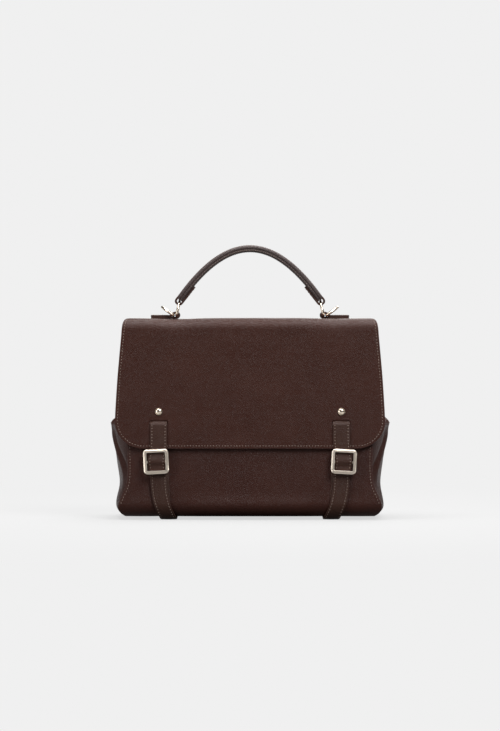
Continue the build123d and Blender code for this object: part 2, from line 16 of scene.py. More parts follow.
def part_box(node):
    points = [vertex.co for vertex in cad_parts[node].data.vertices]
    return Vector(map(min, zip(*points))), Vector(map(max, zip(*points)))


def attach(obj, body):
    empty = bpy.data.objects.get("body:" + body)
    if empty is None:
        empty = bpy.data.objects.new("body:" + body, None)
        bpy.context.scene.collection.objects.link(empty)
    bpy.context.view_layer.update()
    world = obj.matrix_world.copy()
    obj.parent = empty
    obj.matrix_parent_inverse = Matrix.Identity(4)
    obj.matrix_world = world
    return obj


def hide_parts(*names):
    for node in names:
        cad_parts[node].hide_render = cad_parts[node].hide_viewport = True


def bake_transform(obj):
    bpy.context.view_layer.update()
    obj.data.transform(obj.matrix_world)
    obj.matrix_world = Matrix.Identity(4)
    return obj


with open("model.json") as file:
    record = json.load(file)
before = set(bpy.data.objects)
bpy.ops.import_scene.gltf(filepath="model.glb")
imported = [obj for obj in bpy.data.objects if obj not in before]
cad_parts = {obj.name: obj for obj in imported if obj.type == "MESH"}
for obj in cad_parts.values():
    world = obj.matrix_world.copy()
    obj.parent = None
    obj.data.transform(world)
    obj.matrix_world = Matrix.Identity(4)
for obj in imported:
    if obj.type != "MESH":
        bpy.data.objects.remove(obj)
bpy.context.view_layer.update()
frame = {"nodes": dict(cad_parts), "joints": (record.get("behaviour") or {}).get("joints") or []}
MM = 0.001  # pattern sizes below are in millimetres

# %% [markdown]
# A bag maker works from a side view. The front leans back a little, the base is flat, and the leather turns
# round the corners on a radius. These few sizes place every sheet, and the depths come from the CAD boxes.
# %% Side view of the bag


def span(node, axis):
    """Middle and half width of a CAD node's box along an axis, in millimetres."""
    low, high = (corner["xyz".index(axis)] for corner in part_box(node))
    return (low + high) / 2 / MM, (high - low) / 2 / MM


def joint_named(name):
    return next(joint for joint in frame["joints"] if joint["name"] == name)


SHIFT = span("handle_top", "y")[0] - 6.0
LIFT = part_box("base_panel")[0].z / MM
TOP_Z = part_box("back_panel")[1].z / MM
FRONT_TOP_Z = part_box("front_panel")[1].z / MM
FOOT = 62.0  # half the depth at the base
FRONT_FOOT = (SHIFT - FOOT, LIFT)
FRONT_TOP = (SHIFT - 39.0, FRONT_TOP_Z)
BACK_FOOT = (SHIFT + FOOT, LIFT)
BACK_TOP = (SHIFT + 36.0, TOP_Z)
HINGE = joint_named("flap_hinge")
HINGE_Y = HINGE["pos_m"][1] / MM
BASE_TURN = 14.0  # radius of the turn into the base
TOP_TURN = 13.0
LEATHER = 2.0
UNDER_SEAM = 42.0  # each seam under the base, from the middle
LEAN = atan2(FRONT_TOP[0] - FRONT_FOOT[0], FRONT_TOP[1] - FRONT_FOOT[1])


def on_front(height, out):
    """Side view point that far off the front panel's face."""
    along = (height - LIFT) / cos(LEAN)
    return (FRONT_FOOT[0] + along * sin(LEAN) - out * cos(LEAN), height + out * sin(LEAN))


def path_through(corners, radii, step=2.0):
    """Points every few millimetres along straight runs joined by round turns."""
    points = [Vector(corners[0])]
    for before, corner, after, radius in zip(corners, corners[1:], corners[2:], radii):
        here = Vector(corner)
        back = (Vector(before) - here).normalized()
        ahead = (Vector(after) - here).normalized()
        half = back.angle(ahead) / 2
        middle = here + (back + ahead).normalized() * (radius / sin(half))
        start = here + back * (radius / tan(half)) - middle
        turn = start.angle_signed(here + ahead * (radius / tan(half)) - middle)
        count = max(3, int(abs(turn) * radius / step))
        for i in range(count + 1):
            points.append(middle + Matrix.Rotation(-turn * i / count, 2) @ start)
    points.append(Vector(corners[-1]))
    return points


class Path:
    """A line in a side view, measured along its length."""

    def __init__(self, points):
        self.points = [Vector(point) for point in points]
        self.marks = [0.0]
        for a, b in zip(self.points, self.points[1:]):
            self.marks.append(self.marks[-1] + (b - a).length)
        self.length = self.marks[-1]

    def at(self, distance, out=0.0):
        """Point at a distance, moved to the left of the way along by out."""
        distance = min(max(distance, 0.0), self.length)
        i = 0
        while i < len(self.marks) - 2 and self.marks[i + 1] < distance:
            i += 1
        span = max(self.marks[i + 1] - self.marks[i], 1e-9)
        share = (distance - self.marks[i]) / span
        here = self.points[i].lerp(self.points[i + 1], share)
        way = self.way(i).lerp(self.way(i + 1), share).normalized()
        return here + Vector((-way.y, way.x)) * out

    def way(self, i):
        """Direction of the path at one of its points."""
        low, high = max(i - 1, 0), min(i + 1, len(self.points) - 1)
        return (self.points[high] - self.points[low]).normalized()


def smooth_line(stations, height):
    """Smooth curve through a few (height, value) stations."""
    low = 0
    while low < len(stations) - 2 and stations[low + 1][0] < height:
        low += 1
    (h0, v0), (h1, v1) = stations[low], stations[low + 1]
    before = stations[max(low - 1, 0)]
    after = stations[min(low + 2, len(stations) - 1)]
    slope0 = (v1 - before[1]) / (h1 - before[0])
    slope1 = (after[1] - v0) / (after[0] - h0)
    t = min(max((height - h0) / (h1 - h0), 0.0), 1.0)
    span = h1 - h0
    return ((2 * t ** 3 - 3 * t ** 2 + 1) * v0 + (t ** 3 - 2 * t ** 2 + t) * span * slope0
            + (3 * t ** 2 - 2 * t ** 3) * v1 + (t ** 3 - t ** 2) * span * slope1)


# Half widths of the bag as (height, x): at the side seams, and at the fold down each gusset.
SEAM = [(0, 136), (4, 142.5), (8, 147.6), (15, 150.3), (24, 147.6), (40, 141), (62, 139.5), (111, 141),
        (190, 142.6), (214, 142.6), (TOP_Z, 139.6)]
CREASE = [(0, 140), (5, 148), (14, 153.5), (40, 150), (62, 152.5), (100, 158.4), (109, 159.3),
          (122, 149.5), (160, 145.5)]
print("front leans back", round(LEAN * 57.3, 2), "degrees, hinge at", round(HINGE_Y, 2))

# %% [markdown]
# The bag stands in a soft pale studio. The lens is long, so that the bag looks flat and calm.
# A large lamp stands high in front on the right, a second fills the left, a wide one hangs overhead and a
# weak one lights the back. A wide lamp gives a soft shadow, and soft shine on grained leather.
# %% Camera and lamps
BACKGROUND = (0.871, 0.871, 0.871, 1.0)
AIM_HEIGHT = 0.1745  # the camera looks at the middle of the bag with its handle up


def aim(thing, target):
    """Turns a lamp or the camera towards a point."""
    thing.rotation_euler = (Vector(target) - thing.location).to_track_quat("-Z", "Y").to_euler()


def new_object(name, data):
    """Object that holds some data, in the scene."""
    obj = bpy.data.objects.new(name, data)
    bpy.context.collection.objects.link(obj)
    return obj


camera = new_object("camera", bpy.data.cameras.new("camera"))
camera.data.lens = 200
camera.data.sensor_width = 36
camera.location = (0, -4.67, 0.285)
aim(camera, (0, 0, AIM_HEIGHT))
bpy.context.scene.camera = camera


def lamp(name, place, size, watts):
    """Rectangular lamp that looks at the middle of the bag's body."""
    light = new_object(name, bpy.data.lights.new(name, "AREA"))
    light.data.shape = "RECTANGLE"
    light.data.size, light.data.size_y = size
    light.data.energy = watts
    light.location = place
    aim(light, (0, 0, 0.12))


lamp("key", (0.85, -1.1, 1.5), (0.9, 0.9), 25)
lamp("fill", (-1.45, -1.0, 0.6), (0.6, 1.2), 9)
lamp("top", (-0.1, 0.1, 1.5), (1.5, 0.8), 30)
lamp("back", (0.5, 1.4, 1.0), (1.4, 1.0), 9)
print("camera at", [round(value, 3) for value in camera.location])

# %% [markdown]
# The floor shows the camera a glow that grows with distance, so it has no horizon, and near the bag a share
# of plain paper that takes the shadow. Other rays find dark paper, so that no bright bounce lights the base,
# and only glossy rays see the far floor. Light Path tells those rays apart.
# %% Floor and world


def empty_tree(owner):
    """Turns on the nodes of a material or a world, and clears them. Returns both."""
    owner.use_nodes = True
    owner.node_tree.nodes.clear()
    return owner, owner.node_tree


def add_node(tree, kind, inputs=None, **settings):
    """Shader node with its settings and its inputs, each a value or another node's output."""
    node = tree.nodes.new("ShaderNode" + kind)
    for name, value in settings.items():
        setattr(node, name, value)
    for socket, value in (inputs or {}).items():
        if isinstance(value, bpy.types.NodeSocket):
            tree.links.new(value, node.inputs[socket])
        else:
            node.inputs[socket].default_value = value
    return node


def math_node(tree, operation, first, second):
    return add_node(tree, "Math", {0: first, 1: second}, operation=operation).outputs[0]


def object_place(tree):
    return add_node(tree, "TexCoord").outputs["Object"]


FLOOR_HALF = 6
floor_bm = bmesh.new()
bmesh.ops.create_grid(floor_bm, x_segments=2, y_segments=2, size=FLOOR_HALF)
floor_mesh = bpy.data.meshes.new("floor")
floor_bm.to_mesh(floor_mesh)
floor = new_object("floor", floor_mesh)

pale_floor, tree = empty_tree(bpy.data.materials.new("pale_floor"))
rays = add_node(tree, "LightPath").outputs
where = object_place(tree)
reach = add_node(tree, "VectorMath", {0: where}, operation="LENGTH").outputs["Value"]
share = add_node(tree, "MapRange", {"Value": reach, "From Min": 0.12, "From Max": 0.75,
                                    "To Min": 0.72, "To Max": 1.0}).outputs[0]
far_off = add_node(tree, "MapRange", {"Value": reach, "From Min": 0.08, "From Max": 0.32}).outputs[0]
mirrored = math_node(tree, "MULTIPLY", rays["Is Glossy Ray"], far_off)
shown = math_node(tree, "MAXIMUM", rays["Is Camera Ray"], mirrored)
visible = math_node(tree, "MULTIPLY", shown, share)
glow = add_node(tree, "Emission", {"Color": BACKGROUND}).outputs[0]
paper = add_node(tree, "BsdfDiffuse", {"Color": (0.56, 0.56, 0.56, 1)}).outputs[0]
dim_paper = add_node(tree, "BsdfDiffuse", {"Color": (0.10, 0.10, 0.10, 1)}).outputs[0]
bounce = add_node(tree, "MixShader", {0: rays["Is Camera Ray"], 1: dim_paper, 2: paper}).outputs[0]
shade = add_node(tree, "MixShader", {0: visible, 1: bounce, 2: glow}).outputs[0]
add_node(tree, "OutputMaterial", {0: shade})
floor_mesh.materials.append(pale_floor)

bpy.context.scene.world, tree = empty_tree(bpy.data.worlds.new("studio"))
rays = add_node(tree, "LightPath").outputs
backdrop = add_node(tree, "Background", {"Color": BACKGROUND}).outputs[0]
soft = add_node(tree, "Background", {"Color": (1, 1, 1, 1), "Strength": 0.11}).outputs[0]
choose = add_node(tree, "MixShader", {0: rays["Is Camera Ray"], 1: soft, 2: backdrop}).outputs[0]
add_node(tree, "OutputWorld", {0: choose})
bpy.context.scene.view_settings.view_transform = "Standard"
print("floor", 2 * FLOOR_HALF, "m wide, nodes:", len(pale_floor.node_tree.nodes))

# %% [markdown]
# ## Finishes
# The leather has a fine pebbled grain, pressed in by a plate: small cells with soft valleys, broken by a
# slower unevenness. The grain is a node group, so that every leather part uses the same cells.
# It puts out a height for the bump and a mask that colours the valleys a little darker.
# %% Grain group


def new_group(name, inputs, outputs):
    """Node group with number sockets. Returns it with the nodes at its two ends."""
    group = bpy.data.node_groups.new(name, "ShaderNodeTree")
    for label, value in inputs.items():
        socket = group.interface.new_socket(name=label, in_out="INPUT", socket_type="NodeSocketFloat")
        socket.default_value = value
    for label in outputs:
        group.interface.new_socket(name=label, in_out="OUTPUT", socket_type="NodeSocketFloat")
    return group, group.nodes.new("NodeGroupInput"), group.nodes.new("NodeGroupOutput")


grain, start, end = new_group("pebbled_grain", {"Cells": 950.0}, ["Height", "Valley", "Patch"])
where = object_place(grain)
cells = add_node(grain, "TexVoronoi", {"Vector": where, "Scale": start.outputs["Cells"]},
                 feature="DISTANCE_TO_EDGE")
fine = add_node(grain, "TexNoise", {"Vector": where, "Scale": 1900, "Detail": 3})
slow = add_node(grain, "TexNoise", {"Vector": where, "Scale": 22, "Detail": 4})
dome = math_node(grain, "MULTIPLY", cells.outputs["Distance"], 2.6)
dome = math_node(grain, "MINIMUM", dome, 1.0)
rough = math_node(grain, "MULTIPLY", fine.outputs[0], 0.35)
grain.links.new(math_node(grain, "ADD", dome, rough), end.inputs["Height"])
grain.links.new(math_node(grain, "SUBTRACT", 1.0, dome), end.inputs["Valley"])
grain.links.new(slow.outputs[0], end.inputs["Patch"])
print(grain.name, "has", len(grain.nodes), "nodes")

# %% [markdown]
# Leather rubs lighter along its folds and rims. Pointiness finds those places on the mesh itself, so the
# wear sits where hands and tables touch the bag. The group only gives a mask.
# %% Edge wear group
wear, start, end = new_group("edge_wear", {"Amount": 0.5}, ["Mask"])
shape = add_node(wear, "NewGeometry").outputs["Pointiness"]
where = object_place(wear)
patch = add_node(wear, "TexNoise", {"Vector": where, "Scale": 140}).outputs[0]
edge = add_node(wear, "MapRange", {"Value": shape, "From Min": 0.52, "From Max": 0.62}).outputs[0]
broken = math_node(wear, "MULTIPLY", edge, patch)
wear.links.new(math_node(wear, "MULTIPLY", broken, start.outputs["Amount"]), end.inputs["Mask"])
print(wear.name, "has", len(wear.nodes), "nodes")

# %% [markdown]
# Each leather is the same recipe with its own colours: the body brown, the flap a touch warmer, the straps a
# cooler brown and the tabs nearly black. The handle is painted a lighter grey-brown, a painted sheen that
# stands in for the shine on its face. A painted edge is smoother and shinier than the grain side. The grain
# breaks the colour into light and dark, and the rubbed places go lighter.
# %% Leather materials


def mix_colour(tree, factor, first, second):
    """Mixes two colours. In a colour mix, sockets 6 and 7 are the colours and output 2 the result."""
    return add_node(tree, "Mix", {0: factor, 6: first, 7: second}, data_type="RGBA").outputs[2]


def place_group(tree, group, **values):
    return add_node(tree, "Group", values, node_tree=group).outputs


def end_material(tree, height, strength, distance, values):
    """Closes a material: a bump from a height, the surface and the output."""
    bump = add_node(tree, "Bump", {"Height": height, "Strength": strength, "Distance": distance})
    shader = add_node(tree, "BsdfPrincipled", {"Normal": bump.outputs[0], **values})
    add_node(tree, "OutputMaterial", {0: shader.outputs[0]})


def leather_material(name, colour, dark, roughness, cells=720.0, depth=0.55):
    material, tree = empty_tree(bpy.data.materials.new(name))
    lighter = tuple(min(1.0, value * 1.9 + 0.012) for value in colour)
    pattern = place_group(tree, grain, Cells=cells)
    rubbed = place_group(tree, wear, Amount=0.45)["Mask"]
    valley = math_node(tree, "MULTIPLY", pattern["Valley"], 0.45)
    base = mix_colour(tree, pattern["Patch"], (*dark, 1), (*colour, 1))
    base = mix_colour(tree, valley, base, (*dark, 1))
    base = mix_colour(tree, rubbed, base, (*lighter, 1))
    gloss = math_node(tree, "MULTIPLY", pattern["Patch"], 0.16)
    gloss = math_node(tree, "ADD", gloss, roughness - 0.08)
    end_material(tree, pattern["Height"], depth, 0.0004,
                 {"Specular IOR Level": 0.22, "Base Color": base, "Roughness": gloss})
    return material


body_leather = leather_material("body_leather", (0.058, 0.0168, 0.0104), (0.033, 0.0094, 0.0060), 0.40)
flap_leather = leather_material("flap_leather", (0.058, 0.0158, 0.0086), (0.035, 0.0094, 0.0053), 0.40)
strap_leather = leather_material("strap_leather", (0.067, 0.0280, 0.0185), (0.040, 0.0168, 0.0111), 0.38)
tab_leather = leather_material("tab_leather", (0.0100, 0.0052, 0.0044), (0.0050, 0.0028, 0.0024), 0.42)
# painted sheen: the handle's colour is lighter and greyer than its leather, standing in for the shine on its
# face
handle_leather = leather_material("handle_leather", (0.112, 0.084, 0.080), (0.064, 0.047, 0.044), 0.34)
edge_paint = leather_material("edge_paint", (0.085, 0.044, 0.035), (0.050, 0.025, 0.020), 0.34, 2600, 0.12)
suede = leather_material("suede_back", (0.060, 0.034, 0.025), (0.040, 0.022, 0.016), 0.85, 2800, 0.5)
print(len(bpy.data.materials), "materials with the floor's")

# %% [markdown]
# The buckles, studs and rings are plated a pale gold, the buckles with a satin rub that spreads the light
# and a paler, brighter copy of the gold colour, a painted reflection that brightens them.
# Plate is nearly even, with fine rubbing marks that change its roughness, so metal keeps a plain Metallic
# of 1 and its gloss and bump vary. Cloth, thread and board share one woven recipe with their own counts.
# %% Gold, thread, cloth and board


def plated_metal(name, colour, roughness):
    material, tree = empty_tree(bpy.data.materials.new(name))
    warm = tuple(value * 0.86 for value in colour)
    where = object_place(tree)
    rub = add_node(tree, "TexNoise", {"Vector": where, "Scale": 420, "Detail": 5}).outputs[0]
    rubbed = place_group(tree, wear, Amount=0.4)["Mask"]
    base = mix_colour(tree, rub, (*colour, 1), (*warm, 1))
    base = mix_colour(tree, rubbed, base, (0.96, 0.92, 0.86, 1))
    gloss = math_node(tree, "MULTIPLY", rub, 0.14)
    gloss = math_node(tree, "ADD", gloss, roughness)
    end_material(tree, rub, 0.08, 0.0001, {"Metallic": 1.0, "Base Color": base, "Roughness": gloss})
    return material


def woven_material(name, colour, dark, roughness, threads, strength):
    """Cloth, thread or board: two crossing waves for the strands and a noise for the fibres."""
    material, tree = empty_tree(bpy.data.materials.new(name))
    where = object_place(tree)
    strands = [add_node(tree, "TexWave", {"Vector": where, "Scale": threads, "Distortion": 0.6},
                        bands_direction=way).outputs["Fac"] for way in ("DIAGONAL", "Z")]
    fibre = add_node(tree, "TexNoise", {"Vector": where, "Scale": threads * 3, "Detail": 4}).outputs[0]
    cloth = math_node(tree, "MULTIPLY", strands[0], strands[1])
    cloth = math_node(tree, "ADD", cloth, math_node(tree, "MULTIPLY", fibre, 0.5))
    base = mix_colour(tree, cloth, (*dark, 1), (*colour, 1))
    end_material(tree, cloth, strength, 0.0003,
                 {"Roughness": roughness, "Sheen Weight": 0.2, "Base Color": base})
    return material


gold = plated_metal("gold_metal", (0.92, 0.79, 0.65), 0.14)
# painted reflection: the buckles' gold is a brighter copy of the plate colour, so that they look brighter
satin_gold_painted_shine = plated_metal("satin_gold_metal", (0.98, 0.86, 0.73), 0.29)
thread = woven_material("thread", (0.40, 0.30, 0.245), (0.25, 0.18, 0.145), 0.6, 1400, 0.4)
lining_cloth = woven_material("lining_cloth", (0.170, 0.098, 0.060), (0.100, 0.056, 0.035), 0.8, 520, 0.5)
board = woven_material("board", (0.19, 0.165, 0.135), (0.13, 0.11, 0.09), 0.85, 160, 0.3)
print(len(bpy.data.materials), "materials in all")

# %% [markdown]
# ## Making pieces
# Every soft piece starts as a flat grid, as the real one starts as a flat cut of leather. The grid is laid
# on the side view by a placing function, and Solidify then gives it the leather's thickness, inwards, with
# the painted edge as its rim. A small bevel rounds that edge. The modifiers are applied, so the mesh is
# final. Waves, steps and bells are the few shapes that press swells and folds into the grids.
# %% Helpers for pieces
SIDES = ((-1, "left"), (1, "right"))


def laid_grid(columns, rows, place):
    """Grid whose points go where place(u, v) says, with u and v from 0 to 1."""
    bm = bmesh.new()
    bmesh.ops.create_grid(bm, x_segments=columns, y_segments=rows, size=0.5)
    for vert in bm.verts:
        vert.co = place(vert.co.x + 0.5, vert.co.y + 0.5)
    return bm


def face_towards(bm, facing):
    """Turns an open sheet so that its good side looks the given way."""
    bmesh.ops.recalc_face_normals(bm, faces=bm.faces)
    total = sum((face.normal * face.calc_area() for face in bm.faces), Vector())
    if total.dot(Vector(facing)) < 0:
        bmesh.ops.reverse_faces(bm, faces=bm.faces)


def laid_sheet(columns, rows, place, facing):
    """Laid grid with its good side turned the given way."""
    bm = laid_grid(columns, rows, place)
    face_towards(bm, facing)
    return bm


def make_piece(name, bm, materials, body, replaces=(), thickness=0.0, rim=0.35, smooth=35):
    """Object from a bmesh in millimetres, finished, with its finish and its body."""
    bmesh.ops.scale(bm, vec=(MM, MM, MM), verts=bm.verts)
    for face in bm.faces:
        face.smooth = True
    mesh = bpy.data.meshes.new(name)
    bm.to_mesh(mesh)
    bm.free()
    obj = new_object(name, mesh)
    for material in materials:
        mesh.materials.append(material)
    if thickness:
        wall = obj.modifiers.new("thickness", "SOLIDIFY")
        wall.thickness = thickness * MM
        wall.offset = -1
        wall.use_even_offset = True
        wall.material_offset_rim = len(materials) - 1
    if rim:
        edge = obj.modifiers.new("edge", "BEVEL")
        edge.width = rim * MM
        edge.segments = 2
        edge.limit_method = "ANGLE"
        edge.angle_limit = radians(50)
    if obj.modifiers:
        bpy.context.view_layer.update()
        solid = obj.evaluated_get(bpy.context.evaluated_depsgraph_get())
        obj.data = bpy.data.meshes.new_from_object(solid)
        obj.data.name = name
        obj.modifiers.clear()
    obj.data.set_sharp_from_angle(angle=radians(smooth))
    if body:
        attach(obj, body)
    if replaces:
        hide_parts(*replaces)
    return obj


def wavy(x, z, size, seed):
    """Slow, even waviness from -1 to 1."""
    return noise.noise(Vector((x / size, z / size, seed)))


def eased(stations, value):
    """Value between stations, flat at each of them."""
    for (a, low), (b, high) in zip(stations, stations[1:]):
        if value <= b:
            t = min(max((value - a) / (b - a), 0.0), 1.0)
            return low + (high - low) * t * t * (3 - 2 * t)
    return stations[-1][1]


def bell(value, middle, width):
    """Smooth bump, 1 at its middle and nearly 0 at twice its width."""
    return exp(-((value - middle) / width) ** 2)


print("an eased step is", eased([(0, 0), (1, 1)], 0.25), "a quarter of the way along")

# %% [markdown]
# A stitch is a short plump bead of thread that sinks into the leather at both ends. There are hundreds, so
# each is one small icosphere of 20 faces, stretched along the seam. A seam is a place along a line, given
# with a distance off the leather, so that the same few lines sew every edge.
# %% Stitches
STITCH_PITCH, STITCH_LENGTH, STITCH_WIDTH = 3.3, 1.75, 0.85
STITCH_SUNK, STITCH_RISE = 0.05, 0.42


def sew(bm, place, start, end, pitch=STITCH_PITCH, length=STITCH_LENGTH, width=STITCH_WIDTH):
    """Row of stitches along place(distance, out)."""
    count = max(2, int((end - start) / pitch))
    for i in range(count):
        mark = start + (end - start) * (i + 0.5) / count
        here = place(mark, -STITCH_SUNK)
        way = (place(mark + 0.3, -STITCH_SUNK) - place(mark - 0.3, -STITCH_SUNK)).normalized()
        up = (place(mark, 1.0) - place(mark, 0.0)).normalized()
        across = up.cross(way).normalized()
        up = way.cross(across).normalized()
        turn = Matrix((way * length / 2, across * width / 2, up * STITCH_RISE)).transposed().to_4x4()
        bmesh.ops.create_icosphere(bm, subdivisions=1, radius=1, matrix=Matrix.Translation(here) @ turn)


def add_stitches(name, bm, body):
    return make_piece(name, bm, [thread], body, rim=0, smooth=180)


print("stitches", STITCH_LENGTH, "mm long, one every", STITCH_PITCH, "mm")

# %% [markdown]
# ## Body
# The front is one sheet that starts at a seam under the base, turns the corner and rises. Real leather is
# never flat: it swells a little low down where the bag is full, and it dries in slow waves. Between the
# straps it kicks out a little just above the turn into the base, where the stiff corner pushes it.
# The back is one sheet too: up from the base, over the top roll and to the fold where the flap begins.
# %% Front and back panels
STRAP_LINE = 101  # the leather stays nearly flat under the straps, about this far from the middle
front_path = Path(path_through([(SHIFT - UNDER_SEAM, LIFT), FRONT_FOOT, FRONT_TOP], [BASE_TURN]))
back_path = Path(path_through([(HINGE_Y + 0.3, TOP_Z), BACK_TOP, BACK_FOOT, (SHIFT + UNDER_SEAM, LIFT)],
                              [TOP_TURN, BASE_TURN]))


def front_swell(x, z):
    """How far the front stands off its side view line: the swell, slow waves and the kick at its foot."""
    clear = 1 - 0.8 * (bell(abs(x), STRAP_LINE, 16))
    fade = eased([(0, 0), (24, 1), (120, 1), (165, 0)], z)
    kick = 2.1 * bell(z, 12, 12) * eased([(2, 0), (10, 1)], z)
    kick *= (1 - bell(abs(x), STRAP_LINE - 8, 26)) * eased([(0, 1), (118, 1), (146, 0)], abs(x))
    full = 0.9 * bell(z, 52, 34) * (1 - (x / 150) ** 2)
    return clear * fade * (full + 0.55 * wavy(x, z, 60, 3.1)) + kick


def front_at(x, distance, out=0.0):
    swell = front_swell(x, front_path.at(distance).y)
    return Vector((x, *front_path.at(distance, out + swell)))


def front_place(u, v):
    distance = front_path.length * v
    half = smooth_line(SEAM, front_path.at(distance).y) + 0.4 * wavy(0, distance, 30, 8.0)
    return front_at((2 * u - 1) * half, distance)


make_piece("front_panel_leather", laid_sheet(84, 64, front_place, (0, -1, 0)), [body_leather, edge_paint],
           "body", ["front_panel"], LEATHER)


def back_at(x, distance, out=0.0):
    """Point on the back, with a swell in its middle and a slight dip between the tabs on top."""
    point = back_path.at(distance)
    fade = eased([(0, 0), (34, 0), (90, 1), (200, 1), (245, 0)], distance)
    swell = fade * (1.6 * (1 - (x / 150) ** 2) + 0.7 * wavy(x, point.y, 70, 5.5))
    dip = -0.7 * (1 - fade) * bell(point.x, 12, 26) * bell(point.y, TOP_Z, 12)
    dip *= bell(abs(x), 0, 60) + 0.3
    return Vector((x, *back_path.at(distance, out + swell + dip)))


def back_half(distance):
    """Half width of the back, drawn in a little where it meets the flap."""
    z = back_path.at(distance).y
    return smooth_line(SEAM, z) - 2.0 * (1 - eased([(0, 0), (6, 1), (900, 1)], distance))


def back_place(u, v):
    distance = back_path.length * v
    return back_at((2 * u - 1) * back_half(distance), distance)


make_piece("back_panel_leather", laid_sheet(72, 90, back_place, (0, 1, 0)), [body_leather, edge_paint],
           "body", ["back_panel"], LEATHER)
print("front", round(front_path.length), "mm and back", round(back_path.length), "mm along the leather")

# %% [markdown]
# The base is a flat sheet between the two under seams. It widens to the middle, where the gussets meet it,
# and it is seen only when the bag is turned over, so it has the same leather and its own seam stitches.
# %% Base
BASE_HALF = 141.3
BASE_STITCH = 2.5  # stitches, in from each under seam


def base_place(u, v):
    y = SHIFT - UNDER_SEAM + 2 * UNDER_SEAM * v
    half = BASE_HALF + 1.8 * (1 - abs(2 * v - 1))
    return Vector(((2 * u - 1) * half, y, LIFT + 0.15 * wavy(u * 200, y, 40, 2.0)))


make_piece("base_leather", laid_sheet(48, 20, base_place, (0, 0, -1)), [body_leather, edge_paint],
           "body", ["base_panel"], LEATHER)
bm = bmesh.new()
for edge_y in (SHIFT - UNDER_SEAM + BASE_STITCH, SHIFT + UNDER_SEAM - BASE_STITCH):
    sew(bm, lambda mark, out: Vector((mark, edge_y, LIFT - out)), -136, 136, pitch=3.2, length=2.3)
add_stitches("base_stitches", bm, "body")
print("under seams", 2 * UNDER_SEAM, "mm apart")

# %% [markdown]
# A gusset closes each side. It is a tall sheet with a fold down its middle, so that the bag can shut flat:
# the fold stands outwards, pinches in at the waist and rolls over in a soft lip at the top.
# The grid runs from the front panel to the back panel, and a few bells and waves press the folds into it.
# %% Gussets
GUSSET_RISE, GUSSET_DIP = 156.0, 45.0  # top edge at the panels, and how far it dips at the fold
GUSSET_IN = 2.2  # the leather's good side, in from the panels' faces


def height_table(path, inward, start, end):
    """A stretch of a side view path as (height, y) pairs, to look a depth up by its height."""
    return [(point.y, point.x) for point in
            (path.at(start + (end - start) * i / 120, -inward) for i in range(121))]


def look_up(table, height):
    for (z0, y0), (z1, y1) in zip(table, table[1:]):
        if height <= z1:
            return y0 + (y1 - y0) * (height - z0) / max(z1 - z0, 1e-6)
    return table[-1][1]


def gusset_place(side, inward, drop=0.0):
    """Placing function of a gusset: u from front to back, v from the base to the top edge."""
    ahead = height_table(front_path, inward, 8, front_path.length)
    behind = height_table(back_path, inward, back_path.length - 8, 60)

    def place(u, v):
        rim = sin(pi * u) ** 2.2
        top = GUSSET_RISE - GUSSET_DIP * rim - drop
        z = LIFT + inward + (top - LIFT - inward) * v
        y = look_up(ahead, z) * (1 - u) + look_up(behind, z) * u
        seam = smooth_line(SEAM, z) - 1.0
        crease = smooth_line(CREASE, z)
        x = seam + (crease - seam) * sin(pi * u) ** 0.75
        near = min(u, 1 - u)
        fold = eased([(50, 0.10), (96, 0.40)], z)
        depth = eased([(30, 0), (60, 1), (92, 1), (108, 0.2)], z)
        x -= 3.4 * depth * bell(near, fold - 0.07, 0.05)
        x += 1.3 * depth * bell(near, fold + 0.03, 0.03)
        x += 1.2 * (eased([(0, 0), (20, 1), (200, 1)], z)) * wavy(y, z, 34, 4.0 + side) * sin(pi * u)
        x += 1.2 * eased([(0.93, 0), (1, 1)], v) * sin(pi * u) ** 6
        return Vector((side * (x - inward + GUSSET_IN), y, z))

    return place


for side, word in SIDES:
    bm = laid_sheet(56, 60, gusset_place(side, GUSSET_IN), (side, 0, 0))
    make_piece("gusset_leather_" + word, bm, [body_leather, edge_paint], "body",
               ["gusset_" + word], thickness=1.6)
    bm = laid_sheet(40, 44, gusset_place(side, GUSSET_IN + 1.9, 0.6), (-side, 0, 0))
    cloth = make_piece("gusset_lining_cloth_" + word, bm, [lining_cloth], "body",
                       ["gusset_lining_" + word])
    bm = bmesh.new()
    rim_place = gusset_place(side, GUSSET_IN)
    sew(bm, lambda mark, out: rim_place(mark / 100, 0.975) + Vector((side * out, 0, 0)), 6, 94, pitch=1.9)
    add_stitches("gusset_rim_stitches_" + word, bm, "body")
print("gussets rise to", GUSSET_RISE, "mm and dip to", GUSSET_RISE - GUSSET_DIP)

# %% [markdown]
# The side seams show as a thin light edge with stitches just inside it, on the front and on the back.
# %% Side seam stitches
SEAM_STITCH = 3.0  # stitches, in from the side seams


def seam_row(at, half_of, side):
    return lambda mark, out: at(side * (half_of(mark) - SEAM_STITCH), mark, out)


def front_half(distance):
    return smooth_line(SEAM, front_path.at(distance).y)


for side, word in SIDES:
    bm = bmesh.new()
    sew(bm, seam_row(front_at, front_half, side), 26, front_path.length - 3)
    sew(bm, seam_row(back_at, back_half, side), 4, back_path.length - 26)
    add_stitches("side_seam_stitches_" + word, bm, "body")
print("side seams at", round(front_half(front_path.length), 1), "mm by the front's top edge")

# %% [markdown]
# ## Flap
# The flap is the bag's face: one sheet that leaves the top, rolls over and hangs down the front, with big
# round lower corners. It crosses the hinge and rolls over the top in one piece; its mesh is only baked in
# place, with no body.
# %% Flap outline
FLAP_OUT = 4.8  # the flap's face, off the front panel's
FLAP_BOTTOM = 81.3
FLAP_CORNER = 32.0
FLAP_LAP = 7.0  # how far the flap reaches back past the hinge
FLAP_TOP = TOP_Z + 0.8
FLAP_ROLL = 14.0
STRAP_X, STRAP_HALF = span("closure_strap_right", "x")
SLOT_Z, SLOT_HALF = 111.0, 1.6
